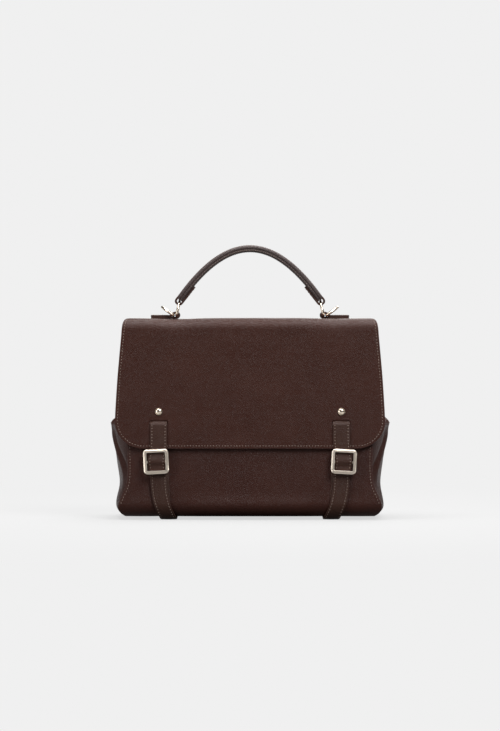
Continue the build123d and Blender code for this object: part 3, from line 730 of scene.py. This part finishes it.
# Half widths of the flap as (height, x), as if it hung flat.
FLAP_HALF = [(79, 153.9), (112, 153.9), (158, 151.4), (190, 148.8), (208, 147.2), (218, 146.4),
             (225, 145.2), (231, 143.0), (236, 140.8), (300, 140.6)]


def corner_at(height, out):
    """Where a line off the front panel reaches a height."""
    return on_front(height - out * sin(LEAN), out)


flap_path = Path(path_through([corner_at(FLAP_BOTTOM, FLAP_OUT), corner_at(FLAP_TOP, FLAP_OUT),
                               (HINGE_Y + FLAP_LAP, FLAP_TOP)], [FLAP_ROLL]))


def flap_half(distance, inset=0.0):
    """Half width of the flap at a distance up from its bottom edge."""
    full = smooth_line(FLAP_HALF, FLAP_BOTTOM + distance * cos(LEAN)) - inset
    radius = FLAP_CORNER - inset
    below = max(radius - (distance - inset), 0.0)
    back = max(FLAP_LAP - (flap_path.length - distance), 0.0)
    return full - radius + (max(radius ** 2 - below ** 2, 0.0)) ** 0.5 - 0.05 * back ** 2


def flap_at(x, distance, out=0.0):
    """Point on the flap at a distance up from its bottom edge, with waves, and puckers in the roll."""
    z = FLAP_BOTTOM + distance
    clear = 1 - 0.85 * bell(abs(x), STRAP_X, 18) * eased([(140, 1), (175, 0)], z)
    swell = clear * (0.55 * wavy(x, z, 55, 1.3) + 0.25 * wavy(x, z, 24, 7.7))
    swell *= eased([(79, 0.35), (100, 1), (205, 1), (222, 0.3)], z)
    roll = eased([(128, 0), (146, 1), (900, 1)], distance)
    swell -= roll * (1.25 * bell(x, -86, 22) + 0.7 * bell(x, 92, 20) - 0.5 * bell(x, 10, 70))
    return Vector((x, *flap_path.at(distance, out + swell)))


def flap_place(inset, out, ends):
    """Rows close together round the lower corners, even above them."""
    radius = FLAP_CORNER - inset

    def place(u, v):
        turn = 0.24
        if v < turn:
            distance = inset + radius * (1 - cos(pi / 2 * v / turn))
        else:
            distance = inset + radius + (flap_path.length - ends - inset - radius) * (v - turn) / (1 - turn)
        return flap_at((2 * u - 1) * flap_half(distance, inset), distance, out)

    return place


def cut_slot(bm, low, high):
    """Removes the rectangle between two corners (x, z) from a sheet."""
    for axis, value in ((0, low[0]), (0, high[0]), (2, low[1]), (2, high[1])):
        normal = Vector((axis == 0, 0, axis == 2))
        bmesh.ops.bisect_plane(bm, geom=bm.verts[:] + bm.edges[:] + bm.faces[:], dist=0.0001,
                               plane_co=normal * value, plane_no=normal)
    middle = [(face, face.calc_center_median()) for face in bm.faces]
    inside = [face for face, c in middle if low[0] < c.x < high[0] and low[1] < c.z < high[1]]
    bmesh.ops.delete(bm, geom=inside, context="FACES")


print("flap path", round(flap_path.length, 1), "mm,", round(2 * flap_half(60), 1), "mm wide by the slots")

# %% [markdown]
# The flap is two layers, leather and a suede lining set in from its edge, with one row of stitches all round.
# Slots for the straps are cut with bisecting planes, so that their edges are straight whatever the grid.
# %% Flap, its lining and its stitches
FLAP_STITCH = 2.9  # stitches, in from the flap's edge
BEND_Y, BEND_Z = HINGE["pos_m"][1:]


def bend_over_hinge(obj):
    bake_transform(obj)


def make_flap_sheet(name, place, materials, replaces, thickness, play):
    """One layer of the flap, with slots that leave some play round the straps."""
    bm = laid_grid(110, 84, place)
    for side in (-1, 1):
        low, high = sorted(side * (STRAP_X + half) for half in (-STRAP_HALF - play, STRAP_HALF + play))
        cut_slot(bm, (low, SLOT_Z - SLOT_HALF - play), (high, SLOT_Z + SLOT_HALF + play))
    face_towards(bm, (0, -1, 0))
    obj = make_piece(name, bm, materials, None, replaces, thickness)
    bend_over_hinge(obj)
    return obj


flap = make_flap_sheet("flap_leather_sheet", flap_place(0.0, 0.0, 0.0), [flap_leather, edge_paint],
                       ["flap"], 1.8, 0.4)
flap_lining = make_flap_sheet("flap_lining_cloth", flap_place(1.5, -1.85, 6.0), [suede],
                              ["flap_lining"], 0.55, 1.5)


def flap_edge(mark, out, side):
    """Line of the stitches: along the bottom from the middle, round the corner, up the side."""
    radius = FLAP_CORNER - FLAP_STITCH
    flat = flap_half(FLAP_CORNER) - FLAP_CORNER
    if mark < flat:
        return flap_at(side * mark, FLAP_STITCH, out)
    turn = (mark - flat) / radius
    if turn < pi / 2:
        return flap_at(side * (flat + radius * sin(turn)), FLAP_CORNER - radius * cos(turn), out)
    distance = FLAP_CORNER + mark - flat - radius * pi / 2
    return flap_at(side * (flap_half(distance) - FLAP_STITCH), distance, out)


bm = bmesh.new()
bottom_run = flap_half(FLAP_CORNER) - FLAP_CORNER + (FLAP_CORNER - FLAP_STITCH) * pi / 2
for side in (-1, 1):
    sew(bm, lambda mark, out: flap_edge(mark, out, side), 0, bottom_run + flap_path.length - 44)
sew(bm, lambda mark, out: flap_at(mark, flap_path.length - 2.4, out), -139, 139, pitch=2.6)
bend_over_hinge(add_stitches("flap_stitches", bm, None))
print("flap", round(flap_path.length), "mm long,", len(flap.data.polygons), "faces")

# %% [markdown]
# ## Closure straps
# Each strap is sewn behind the flap, comes out of its slot and runs down over the flap's edge into the
# buckle, where it bulges over the hidden middle bar. It bends where it leaves the slot, and its mesh is baked
# in place with no body. Its section is slightly crowned, because pressed leather is thinner at its edges.
# %% Closure straps
ROOT_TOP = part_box("strap_root_right")[1].z / MM
STRAP_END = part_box("closure_strap_right")[0].z / MM
BUCKLE_Z = 65.4
ON_FLAP, ON_BAR, BEHIND_FLAP = 7.1, 8.7, 3.0  # the strap's face, off the front panel's
STRAP_OFF = [(STRAP_END, ON_FLAP), (BUCKLE_Z - 5.2, ON_FLAP), (BUCKLE_Z - 0.8, ON_BAR),
             (BUCKLE_Z + 1.2, ON_BAR), (BUCKLE_Z + 8.5, ON_FLAP), (SLOT_Z - 4, ON_FLAP),
             (SLOT_Z + 3.5, BEHIND_FLAP), (ROOT_TOP, BEHIND_FLAP)]
STRAP_EDGE = STRAP_HALF - 0.15
STRAP_STITCH = 2.3  # stitches, in from the strap's edges
LIFT_Y, LIFT_Z = joint_named("strap_right_lift")["pos_m"][1:]


def closure_at(side, across, height, out=0.0):
    """Point on a closure strap, across from its middle, at a height."""
    crown = 0.35 * (1 - (across / STRAP_EDGE) ** 2)
    tip = max(STRAP_END + 5 - height, 0)
    slip = 0.5 * wavy(height, side * 9, 40, 2.2) + side * 2.3 * bell(height, BUCKLE_Z, 11)
    x = side * STRAP_X + across * (1 - 0.012 * tip ** 2) + slip
    return Vector((x, *on_front(height, eased(STRAP_OFF, height) + crown - 0.3 + out)))


def closure_place(u, v):
    """The strap of the side in hand, from its end up to its root."""
    return closure_at(side, (2 * u - 1) * STRAP_EDGE, STRAP_END + (ROOT_TOP - STRAP_END) * v)


def bend_at_slot(obj):
    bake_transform(obj)


for side, word in SIDES:
    bm = laid_sheet(8, 72, closure_place, (0, -1, 0))
    strap = make_piece("closure_strap_leather_" + word, bm, [strap_leather, edge_paint], None,
                       ["closure_strap_" + word, "strap_root_" + word], thickness=2.0, rim=0.4)
    bend_at_slot(strap)
    bm = bmesh.new()
    for edge in (-1, 1):
        sew(bm, lambda mark, out: closure_at(side, edge * (STRAP_HALF - STRAP_STITCH), mark, out),
            STRAP_END + 2, SLOT_Z - 3)
    sew(bm, lambda mark, out: closure_at(side, mark, STRAP_END + 2.2, out), -7, 7)
    bend_at_slot(add_stitches("closure_stitches_" + word, bm, None))
print("closure straps end at", round(STRAP_END, 1))

# %% [markdown]
# ## Buckles
# A buckle is cast in one piece: a square frame with soft outer corners and a raised inner step, so that
# two nested squares catch the light. One quad is inset to a frame, its corners are bevelled, the frame is
# extruded, and two more insets make the step. The mitre lines come free from the insets.
# %% Buckles
BUCKLE_X = span("buckle_right", "x")[0] + 2.2
BUCKLE_WIDTH, BUCKLE_HEIGHT, BUCKLE_SIDE, BUCKLE_T = 28.6, 28.4, 3.7, 2.6
BUCKLE_OFF = 7.2  # its back, off the front panel's face
BUCKLE_TILT = 3.0  # degrees, inner side up
BUCKLE_CORNER = 4.6
BAR_WIDTH = 2.4  # the middle bar, on two short posts
FRAME_STEPS = (1.15, 0.35, BUCKLE_SIDE - 1.5)  # widths of the sloped edge, the line and the flat step


def panel_frame(x, height, out, turn=0.0):
    """Matrix of a place on the front: x across, y up the leather, z out of it."""
    up, off = (0, sin(LEAN), cos(LEAN)), (0, -cos(LEAN), sin(LEAN))
    axes = Matrix(((1, 0, 0), up, off)).transposed().to_4x4()
    return Matrix.Translation((x, *on_front(height, out))) @ axes @ Matrix.Rotation(radians(turn), 4, "Z")


def buckle_frame():
    """Frame of a buckle, flat, its back at height 0."""
    bm = bmesh.new()
    bmesh.ops.create_grid(bm, x_segments=1, y_segments=1, size=0.5)
    bmesh.ops.scale(bm, vec=(BUCKLE_WIDTH, BUCKLE_HEIGHT, 1), verts=bm.verts)
    bmesh.ops.bevel(bm, geom=bm.verts[:], offset=BUCKLE_CORNER, affect="VERTICES", segments=6, profile=0.5,
                    material=-1)
    window = bm.faces[:]
    for width in FRAME_STEPS:
        bmesh.ops.inset_region(bm, faces=window, thickness=width, depth=0.0, use_boundary=True,
                               use_even_offset=True)
    bmesh.ops.delete(bm, geom=window, context="FACES_ONLY")
    bmesh.ops.recalc_face_normals(bm, faces=bm.faces)
    if bm.faces[:][0].normal.z < 0:
        bmesh.ops.reverse_faces(bm, faces=bm.faces)
    back = bmesh.ops.extrude_face_region(bm, geom=bm.faces[:])
    lifted = [item for item in back["geom"] if isinstance(item, bmesh.types.BMVert)]
    bmesh.ops.translate(bm, vec=(0, 0, BUCKLE_T), verts=lifted)
    for vert in lifted:
        reach = max(abs(vert.co.x) / BUCKLE_WIDTH, abs(vert.co.y) / BUCKLE_HEIGHT) * 2
        if reach > 0.999 - 1.25 / (BUCKLE_WIDTH / 2):
            vert.co.z -= 0.75
    bmesh.ops.recalc_face_normals(bm, faces=bm.faces)
    return bm


def add_block(bm, size, place):
    """Block of a size in x, y and z with its middle at a place."""
    verts = bmesh.ops.create_cube(bm, size=1)["verts"]
    bmesh.ops.scale(bm, vec=size, verts=verts)
    bmesh.ops.translate(bm, vec=place, verts=verts)


for side, word in SIDES:
    bm = buckle_frame()
    bmesh.ops.bevel(bm, geom=[edge for edge in bm.edges if edge.calc_face_angle(0) > radians(35)],
                    offset=0.32, affect="EDGES", segments=2, profile=0.5, material=-1)
    add_block(bm, (BUCKLE_WIDTH - 4.4, BAR_WIDTH, 1.0), (0, 0, -1.7))
    for post in (-1, 1):
        add_block(bm, (1.4, BAR_WIDTH, 2.4), (post * (BUCKLE_WIDTH / 2 - 2.2), 0, -0.9))
    place = panel_frame(side * BUCKLE_X, BUCKLE_Z, BUCKLE_OFF, -side * BUCKLE_TILT)
    bmesh.ops.transform(bm, matrix=place, verts=bm.verts)
    make_piece("buckle_plated_" + word, bm, [satin_gold_painted_shine], "closure_" + word, ["buckle_" + word],
               rim=0, smooth=32)
print("buckles", BUCKLE_WIDTH, "by", BUCKLE_HEIGHT, "mm, their middles", round(BUCKLE_X, 1), "mm out")

# %% [markdown]
# The studs above the straps are turned: a thin bright flange and a low dome. Half of the section is drawn
# and spun round. The snaps behind the buckles, the studs' washers and the D rings keep their CAD shapes,
# which are plain turned or bent metal, and only take the plated finish. The two boards keep theirs too.
# %% Studs, and the finish of the CAD pieces
STUD_Z = span("stud_right", "z")[0]
# Half section as (radius, height): the dome, a groove, the rolled flange, and the post through the leather.
STUD = [(0, 1.75), (0.9, 1.7), (1.8, 1.52), (2.6, 1.18), (3.1, 0.82), (3.35, 0.62), (3.75, 0.95),
        (4.15, 0.95), (4.45, 0.6), (4.5, 0.1), (1.5, 0.1), (1.5, -3.4), (0, -3.4)]
for side, word in SIDES:
    bm = bmesh.new()
    verts = [bm.verts.new((radius, 0, height)) for radius, height in STUD]
    edges = [bm.edges.new(pair) for pair in zip(verts, verts[1:])]
    bmesh.ops.spin(bm, geom=verts + edges, cent=(0, 0, 0), axis=(0, 0, 1), angle=2 * pi, steps=40,
                   use_merge=True)
    bmesh.ops.remove_doubles(bm, verts=bm.verts, dist=0.001)
    bmesh.ops.recalc_face_normals(bm, faces=bm.faces)
    bmesh.ops.transform(bm, matrix=panel_frame(side * STRAP_X, STUD_Z + 0.2, FLAP_OUT), verts=bm.verts)
    make_piece("stud_plated_" + word, bm, [gold], "flap", ["stud_" + word], rim=0, smooth=38)
PLATED = ("snap_stud", "snap_socket", "stud_back", "handle_ring", "shoulder_ring")
plated = [node + "_" + word for node in PLATED for side, word in SIDES]
for nodes, finish in ((plated, gold), (["base_board", "top_board"], board)):
    for node in nodes:
        frame["nodes"][node].data.materials.clear()
        frame["nodes"][node].data.materials.append(finish)
print("stud at height", round(STUD_Z, 1))

# %% [markdown]
# ## Lower straps
# Under each buckle a strap goes on down the front, curves in towards the middle and turns under the base.
# A second, thinner layer behind it shows as a slim line on the inner side. Both follow one line in the side
# view at their own distances, and their edges follow one curve in the front view.
# %% Lower straps and their backing
LOWER_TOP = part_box("lower_strap_right")[1].z / MM
LOWER_HALF = 9.3
LOWER_END = 40  # the strap's end under the base, behind the bag's middle
SWEEP, SWEEP_TOP = 13.5, 52.0  # how far it curves in, and the height where that starts
BACKING_SHOWS = 2.6
LOWER_STITCH = 2.2  # stitches, in from the strap's edges


def lower_path(out):
    corners = [(SHIFT + LOWER_END, LIFT - out), corner_at(LIFT - out, out), corner_at(LOWER_TOP, out)]
    return Path(path_through(corners, [BASE_TURN + out]))


def sweep_at(z):
    """How far a lower strap has curved in at a height."""
    drop = min(max(SWEEP_TOP - z, 0) / (SWEEP_TOP + LIFT), 1.0)
    return SWEEP * drop ** 2.35


def lower_at(path, side, across, distance, out=0.0, peek=0.0):
    """Point on a lower strap; the layer behind shows on the inner side by peek."""
    z = path.at(distance).y
    show = peek * eased([(18, 0), (32, 1)], z) if across < 0 else 0
    crown = 0.3 * (1 - (across / LOWER_HALF) ** 2)
    x = STRAP_X + across - sweep_at(z) - show
    return Vector((side * x, *path.at(distance, out + crown - 0.3)))


strap_line = lower_path(3.6)
backing_line = lower_path(1.55)
for side, word in SIDES:
    for name, line, half, peek, thick, node in (
            ("lower_strap_leather_", strap_line, LOWER_HALF, 0.0, 2.0, "lower_strap_"),
            ("strap_backing_leather_", backing_line, LOWER_HALF - 0.3, BACKING_SHOWS, 1.5, "strap_backing_")):
        bm = laid_sheet(
            8, 84, lambda u, v: lower_at(line, side, (2 * u - 1) * half, line.length * v, 0, peek),
            (0, -1, -0.6))
        make_piece(name + word, bm, [strap_leather, edge_paint], "body", [node + word],
                   thick)
    bm = bmesh.new()
    for edge in (-1, 1):
        sew(bm, lambda mark, out: lower_at(strap_line, side, edge * (LOWER_HALF - LOWER_STITCH), mark, out),
            3, strap_line.length - 3)
    add_stitches("lower_stitches_" + word, bm, "body")
print("lower strap", round(strap_line.length), "mm")

# %% [markdown]
# ## Handle
# The handle is a padded arch: a top leather, a core that fills it and an underside, with painted edges where
# the layers meet. Its section is a rounded bar with a groove along each side. At both ends a strip goes round
# the ring and comes back under the handle as a short tongue.
# %% Handle
HANDLE_Y, HANDLE_HALF = span("handle_top", "y")
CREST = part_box("handle_top")[1].z / MM
ARCH_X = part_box("handle_top")[1].x / MM + 2.0
ARCH_END = 256.0  # height of the handle's face at its ends
ARCH = (CREST - ARCH_END) / ARCH_X ** 2
HANDLE_T = 8.3
HANDLE_STITCH = 3.0  # stitches, in from the handle's edges
ROW_END = ARCH_X - 6


def arch_at(x, depth):
    """Front view point under the handle's outer face."""
    slope = -2 * ARCH * x
    length = (1 + slope * slope) ** 0.5
    return Vector((x + depth * slope / length, CREST - ARCH * x * x - depth / length))


def arch_place(mark, depth, across, side=1):
    """Point under the handle's outer face, across from its middle line."""
    point = arch_at(mark, depth)
    return Vector((side * point.x, HANDLE_Y + across, point.y))


def round_section(half_width, near, far, corner):
    """Section of one layer as (across, depth) points: domed on its far side, square at the join."""
    sign = 1 if far > near else -1
    turns = [pi / 2 * i / 6 for i in range(7)]
    round_side = [(-half_width, near)]
    round_side += [(-half_width + corner * (1 - cos(turn)), far - sign * corner * (1 - sin(turn)))
                   for turn in turns]
    dome = [((half_width - corner) * (i / 3 - 1), far + sign * 0.25 * sin(pi * i / 6)) for i in range(1, 6)]
    return round_side + dome + [(-across, depth) for across, depth in reversed(round_side)]


def arch_piece(name, section, materials, replaces, reach, taper):
    """A closed bar that follows the arch: the section is laid out as a grid, joined and capped."""
    count = len(section)

    def place(u, v):
        across, depth = section[int(round(u * count)) % count]
        x = -reach + 2 * reach * v
        near_end = max(abs(x) - reach + 9, 0) / 9
        return arch_place(x, depth, across * (1 - taper * near_end ** 2))

    bm = laid_grid(count, 72, place)
    bmesh.ops.remove_doubles(bm, verts=bm.verts, dist=0.001)
    bmesh.ops.holes_fill(bm, edges=[edge for edge in bm.edges if edge.is_boundary], sides=0)
    bmesh.ops.recalc_face_normals(bm, faces=bm.faces)
    return make_piece(name, bm, materials, "handle", replaces, rim=0.3, smooth=50)


outer = arch_piece("handle_outer_leather", round_section(HANDLE_HALF - 0.1, 4.0, 0.25, 2.6),
                   [handle_leather], ["handle_top"], reach=ARCH_X + 2.6, taper=0.2)
under = arch_piece("handle_under_leather", round_section(HANDLE_HALF - 0.25, 4.6, HANDLE_T - 0.25, 2.2),
                   [handle_leather], ["handle_underside"], reach=ARCH_X + 2.6, taper=0.2)
core = arch_piece("handle_filler", round_section(HANDLE_HALF - 0.75, 3.4, 5.2, 0.5), [edge_paint],
                  ["handle_core"], reach=ARCH_X + 3.2, taper=0.24)
bm = bmesh.new()
for edge in (-1, 1):
    across = edge * (HANDLE_HALF - HANDLE_STITCH)
    for depth, facing, pitch in ((0.25, -1, 2.7), (HANDLE_T - 0.25, 1, 2.4)):
        sew(bm, lambda mark, out: arch_place(mark, depth + facing * out, across), -ROW_END, ROW_END, pitch)
    sew(bm, lambda mark, out: arch_place(mark, 5.9, edge * (HANDLE_HALF - 0.25 + out)),
        -ROW_END, ROW_END, pitch=2.6, width=0.5)
add_stitches("handle_stitches", bm, "handle")
print("handle crest at", round(CREST, 1))

# %% [markdown]
# The end loops are strips of leather. Their front view is a line: out from under the handle's top, down round
# the ring's wire and back along the underside. The tabs on the top are strips too, folded round both rings.
# %% End loops and tabs
ring_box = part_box("handle_ring_right")
RING_TOP = Vector((ring_box[0].x / MM + 1.5, ring_box[1].z / MM - 1.5))
LOOP_HALF, LOOP_T, LOOP_STITCH = 7.0, 2.0, 1.9


def strip_round(name, line, half_width, materials, body, replaces, thickness, facing):
    """Strip of leather that follows a line in the front view."""
    path = Path(line)
    rows = max(24, int(path.length / 1.1))

    def place(u, v):
        point = path.at(path.length * v)
        edge = max(4.0 - path.length * min(v, 1 - v), 0.0)
        return Vector((point.x, HANDLE_Y + (2 * u - 1) * (half_width - 0.06 * edge ** 2), point.y))

    bm = laid_grid(8, rows, place)
    bmesh.ops.recalc_face_normals(bm, faces=bm.faces)
    first = min(bm.faces, key=lambda face: (face.calc_center_median() - Vector(facing[0])).length)
    if first.normal.dot(Vector(facing[1])) < 0:
        bmesh.ops.reverse_faces(bm, faces=bm.faces)
    make_piece(name, bm, materials, body, replaces, thickness)


def loop_line(side):
    """Outer line of an end loop: straight off the arch, round the wire, back under the handle."""
    end = arch_at(ARCH_X, 0.0)
    down = (end - arch_at(ARCH_X - 1, 0.0)).normalized()
    inward = (arch_at(ARCH_X, 1.0) - end).normalized()
    start = end - down * 6 + inward * 1.2
    reach = (RING_TOP - end).dot(down) + 1.9
    wide = HANDLE_T + LOOP_T
    corners = [start, end + inward * 0.9 - down * 1, end + down * reach * 0.45 - inward * 0.3,
               end + down * (reach + 2.4) + inward * 0.2, end + down * (reach + 2.4) + inward * (wide - 0.8),
               end + inward * wide + down * 1.0]
    line = path_through(corners, [8.0, 14.0, 4.2, 4.2], step=0.7)[:-1]
    line += [arch_at(x, wide) for x in (80, 78, 76, 74, 72, 70.5)]
    return [Vector((side * point.x, point.y)) for point in line]


tab_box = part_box("tab_right")
TAB_IN, TAB_OUT = tab_box[0].x / MM, tab_box[1].x / MM
TAB_LOW, TAB_HIGH = tab_box[0].z / MM, tab_box[1].z / MM
TAB_TOP = TAB_LOW + 4.4  # its two layers
TAB_HALF, TAB_STITCH = 9.0, 2.2


def on_tab(x, across, out):
    """Point on the upper face of the tab of the side in hand."""
    return Vector((side * x, HANDLE_Y + across, TAB_TOP + out))


for side, word in SIDES:
    line = loop_line(side)
    probe = Vector((line[3].x, HANDLE_Y, line[3].y))
    strip_round("handle_loop_leather_" + word, line, LOOP_HALF, [handle_leather, edge_paint], "handle",
                ["handle_loop_" + word], 2.3, (probe, (side, 0, 1)))
    bm = bmesh.new()
    for across in (LOOP_STITCH - LOOP_HALF, LOOP_HALF - LOOP_STITCH):
        sew(bm, lambda mark, out: arch_place(mark, HANDLE_T + LOOP_T + out, across, side), 71.5, 79, 2.5)
    add_stitches("loop_stitches_" + word, bm, "handle")
    radius = (TAB_HIGH - TAB_LOW) / 2
    middle = TAB_IN + radius
    corners = [(TAB_OUT, TAB_TOP), (middle + 7.0, TAB_TOP), (middle + 3.6, TAB_HIGH),
               (TAB_IN, TAB_HIGH), (TAB_IN, TAB_LOW), (TAB_OUT - 0.3, TAB_LOW)]
    line = path_through(corners, [3.0, 3.0, radius - 0.1, radius - 0.1], step=0.7)
    line = [Vector((side * point.x, point.y)) for point in line]
    strip_round("tab_leather_" + word, line, TAB_HALF, [tab_leather, edge_paint], "body",
                ["tab_" + word], 2.6, (Vector((line[0].x, HANDLE_Y, line[0].y)), (0, 0, 1)))
    bm = bmesh.new()
    for across in (TAB_STITCH - TAB_HALF, TAB_HALF - TAB_STITCH):
        sew(bm, lambda mark, out: on_tab(mark, across, out), middle + 10, TAB_OUT - 2, pitch=2.3)
    sew(bm, lambda mark, out: on_tab(TAB_OUT - 2, mark, out), -6, 6, pitch=2.3)
    add_stitches("tab_stitches_" + word, bm, "body")
print("ring wire seats at", [round(value, 1) for value in RING_TOP])

# %% [markdown]
# ## Inside
# The bag is lined with a brown twill. The lining is one cloth that goes down the front, over the base board
# and up the back, a little slack in its corners. A patch pocket with a folded hem is sewn on the back.
# %% Lining and pocket
POCKET_HALF, POCKET_LOW, POCKET_DEEP = 90, 30.0, 110.0
LINING_HALF = 136.4
LINING_IN = 2.4  # the lining, in from the leather's outer faces
LINING_LOW = 8.2  # on the base board
lining_path = Path(path_through(
    [front_path.at(front_path.length - 2, -LINING_IN), corner_at(LINING_LOW, -LINING_IN),
     (SHIFT + FOOT - 3.0, LINING_LOW), back_path.at(46, -LINING_IN)], [12.0, 12.0]))


def lining_at(x, distance, out=0.0):
    """The lining hangs a little loose inside its line, but not on the base board."""
    z = lining_path.at(distance).y
    slack = eased([(LINING_LOW, 0), (40, 1), (150, 0.4), (230, 0)], z)
    slack *= 0.5 + 0.5 * wavy(x, z + distance, 45, 6.6)
    return Vector((x, *lining_path.at(distance, out + 0.5 * slack)))


bm = laid_sheet(60, 110, lambda u, v: lining_at((2 * u - 1) * LINING_HALF, lining_path.length * v), (0, 0, 1))
lining = make_piece("lining_twill", bm, [lining_cloth], "body", ["lining"], thickness=0.6,
                    rim=0)


def pocket_place(u, v):
    """The pocket stands off the back lining most in the middle of its mouth, under a folded hem."""
    x = (2 * u - 1) * POCKET_HALF
    z = POCKET_LOW + POCKET_DEEP * v
    back = look_up(pocket_wall, z)
    puff = 1.6 + 1.2 * sin(pi * u) * v + 0.3 * wavy(x, z, 30, 9.4)
    hem = 0.35 if v > 0.93 else 0.0
    return Vector((x, back - puff - hem, z))


pocket_wall = [(point.y, point.x) for point in
               (lining_path.at(lining_path.length * (0.5 + 0.5 * i / 100)) for i in range(101))]
pocket = make_piece("pocket_twill", laid_sheet(48, 40, pocket_place, (0, -1, 0)), [lining_cloth], "body",
                    ["inner_pocket"], thickness=0.6, rim=0)
print("lining", round(lining_path.length), "mm long")
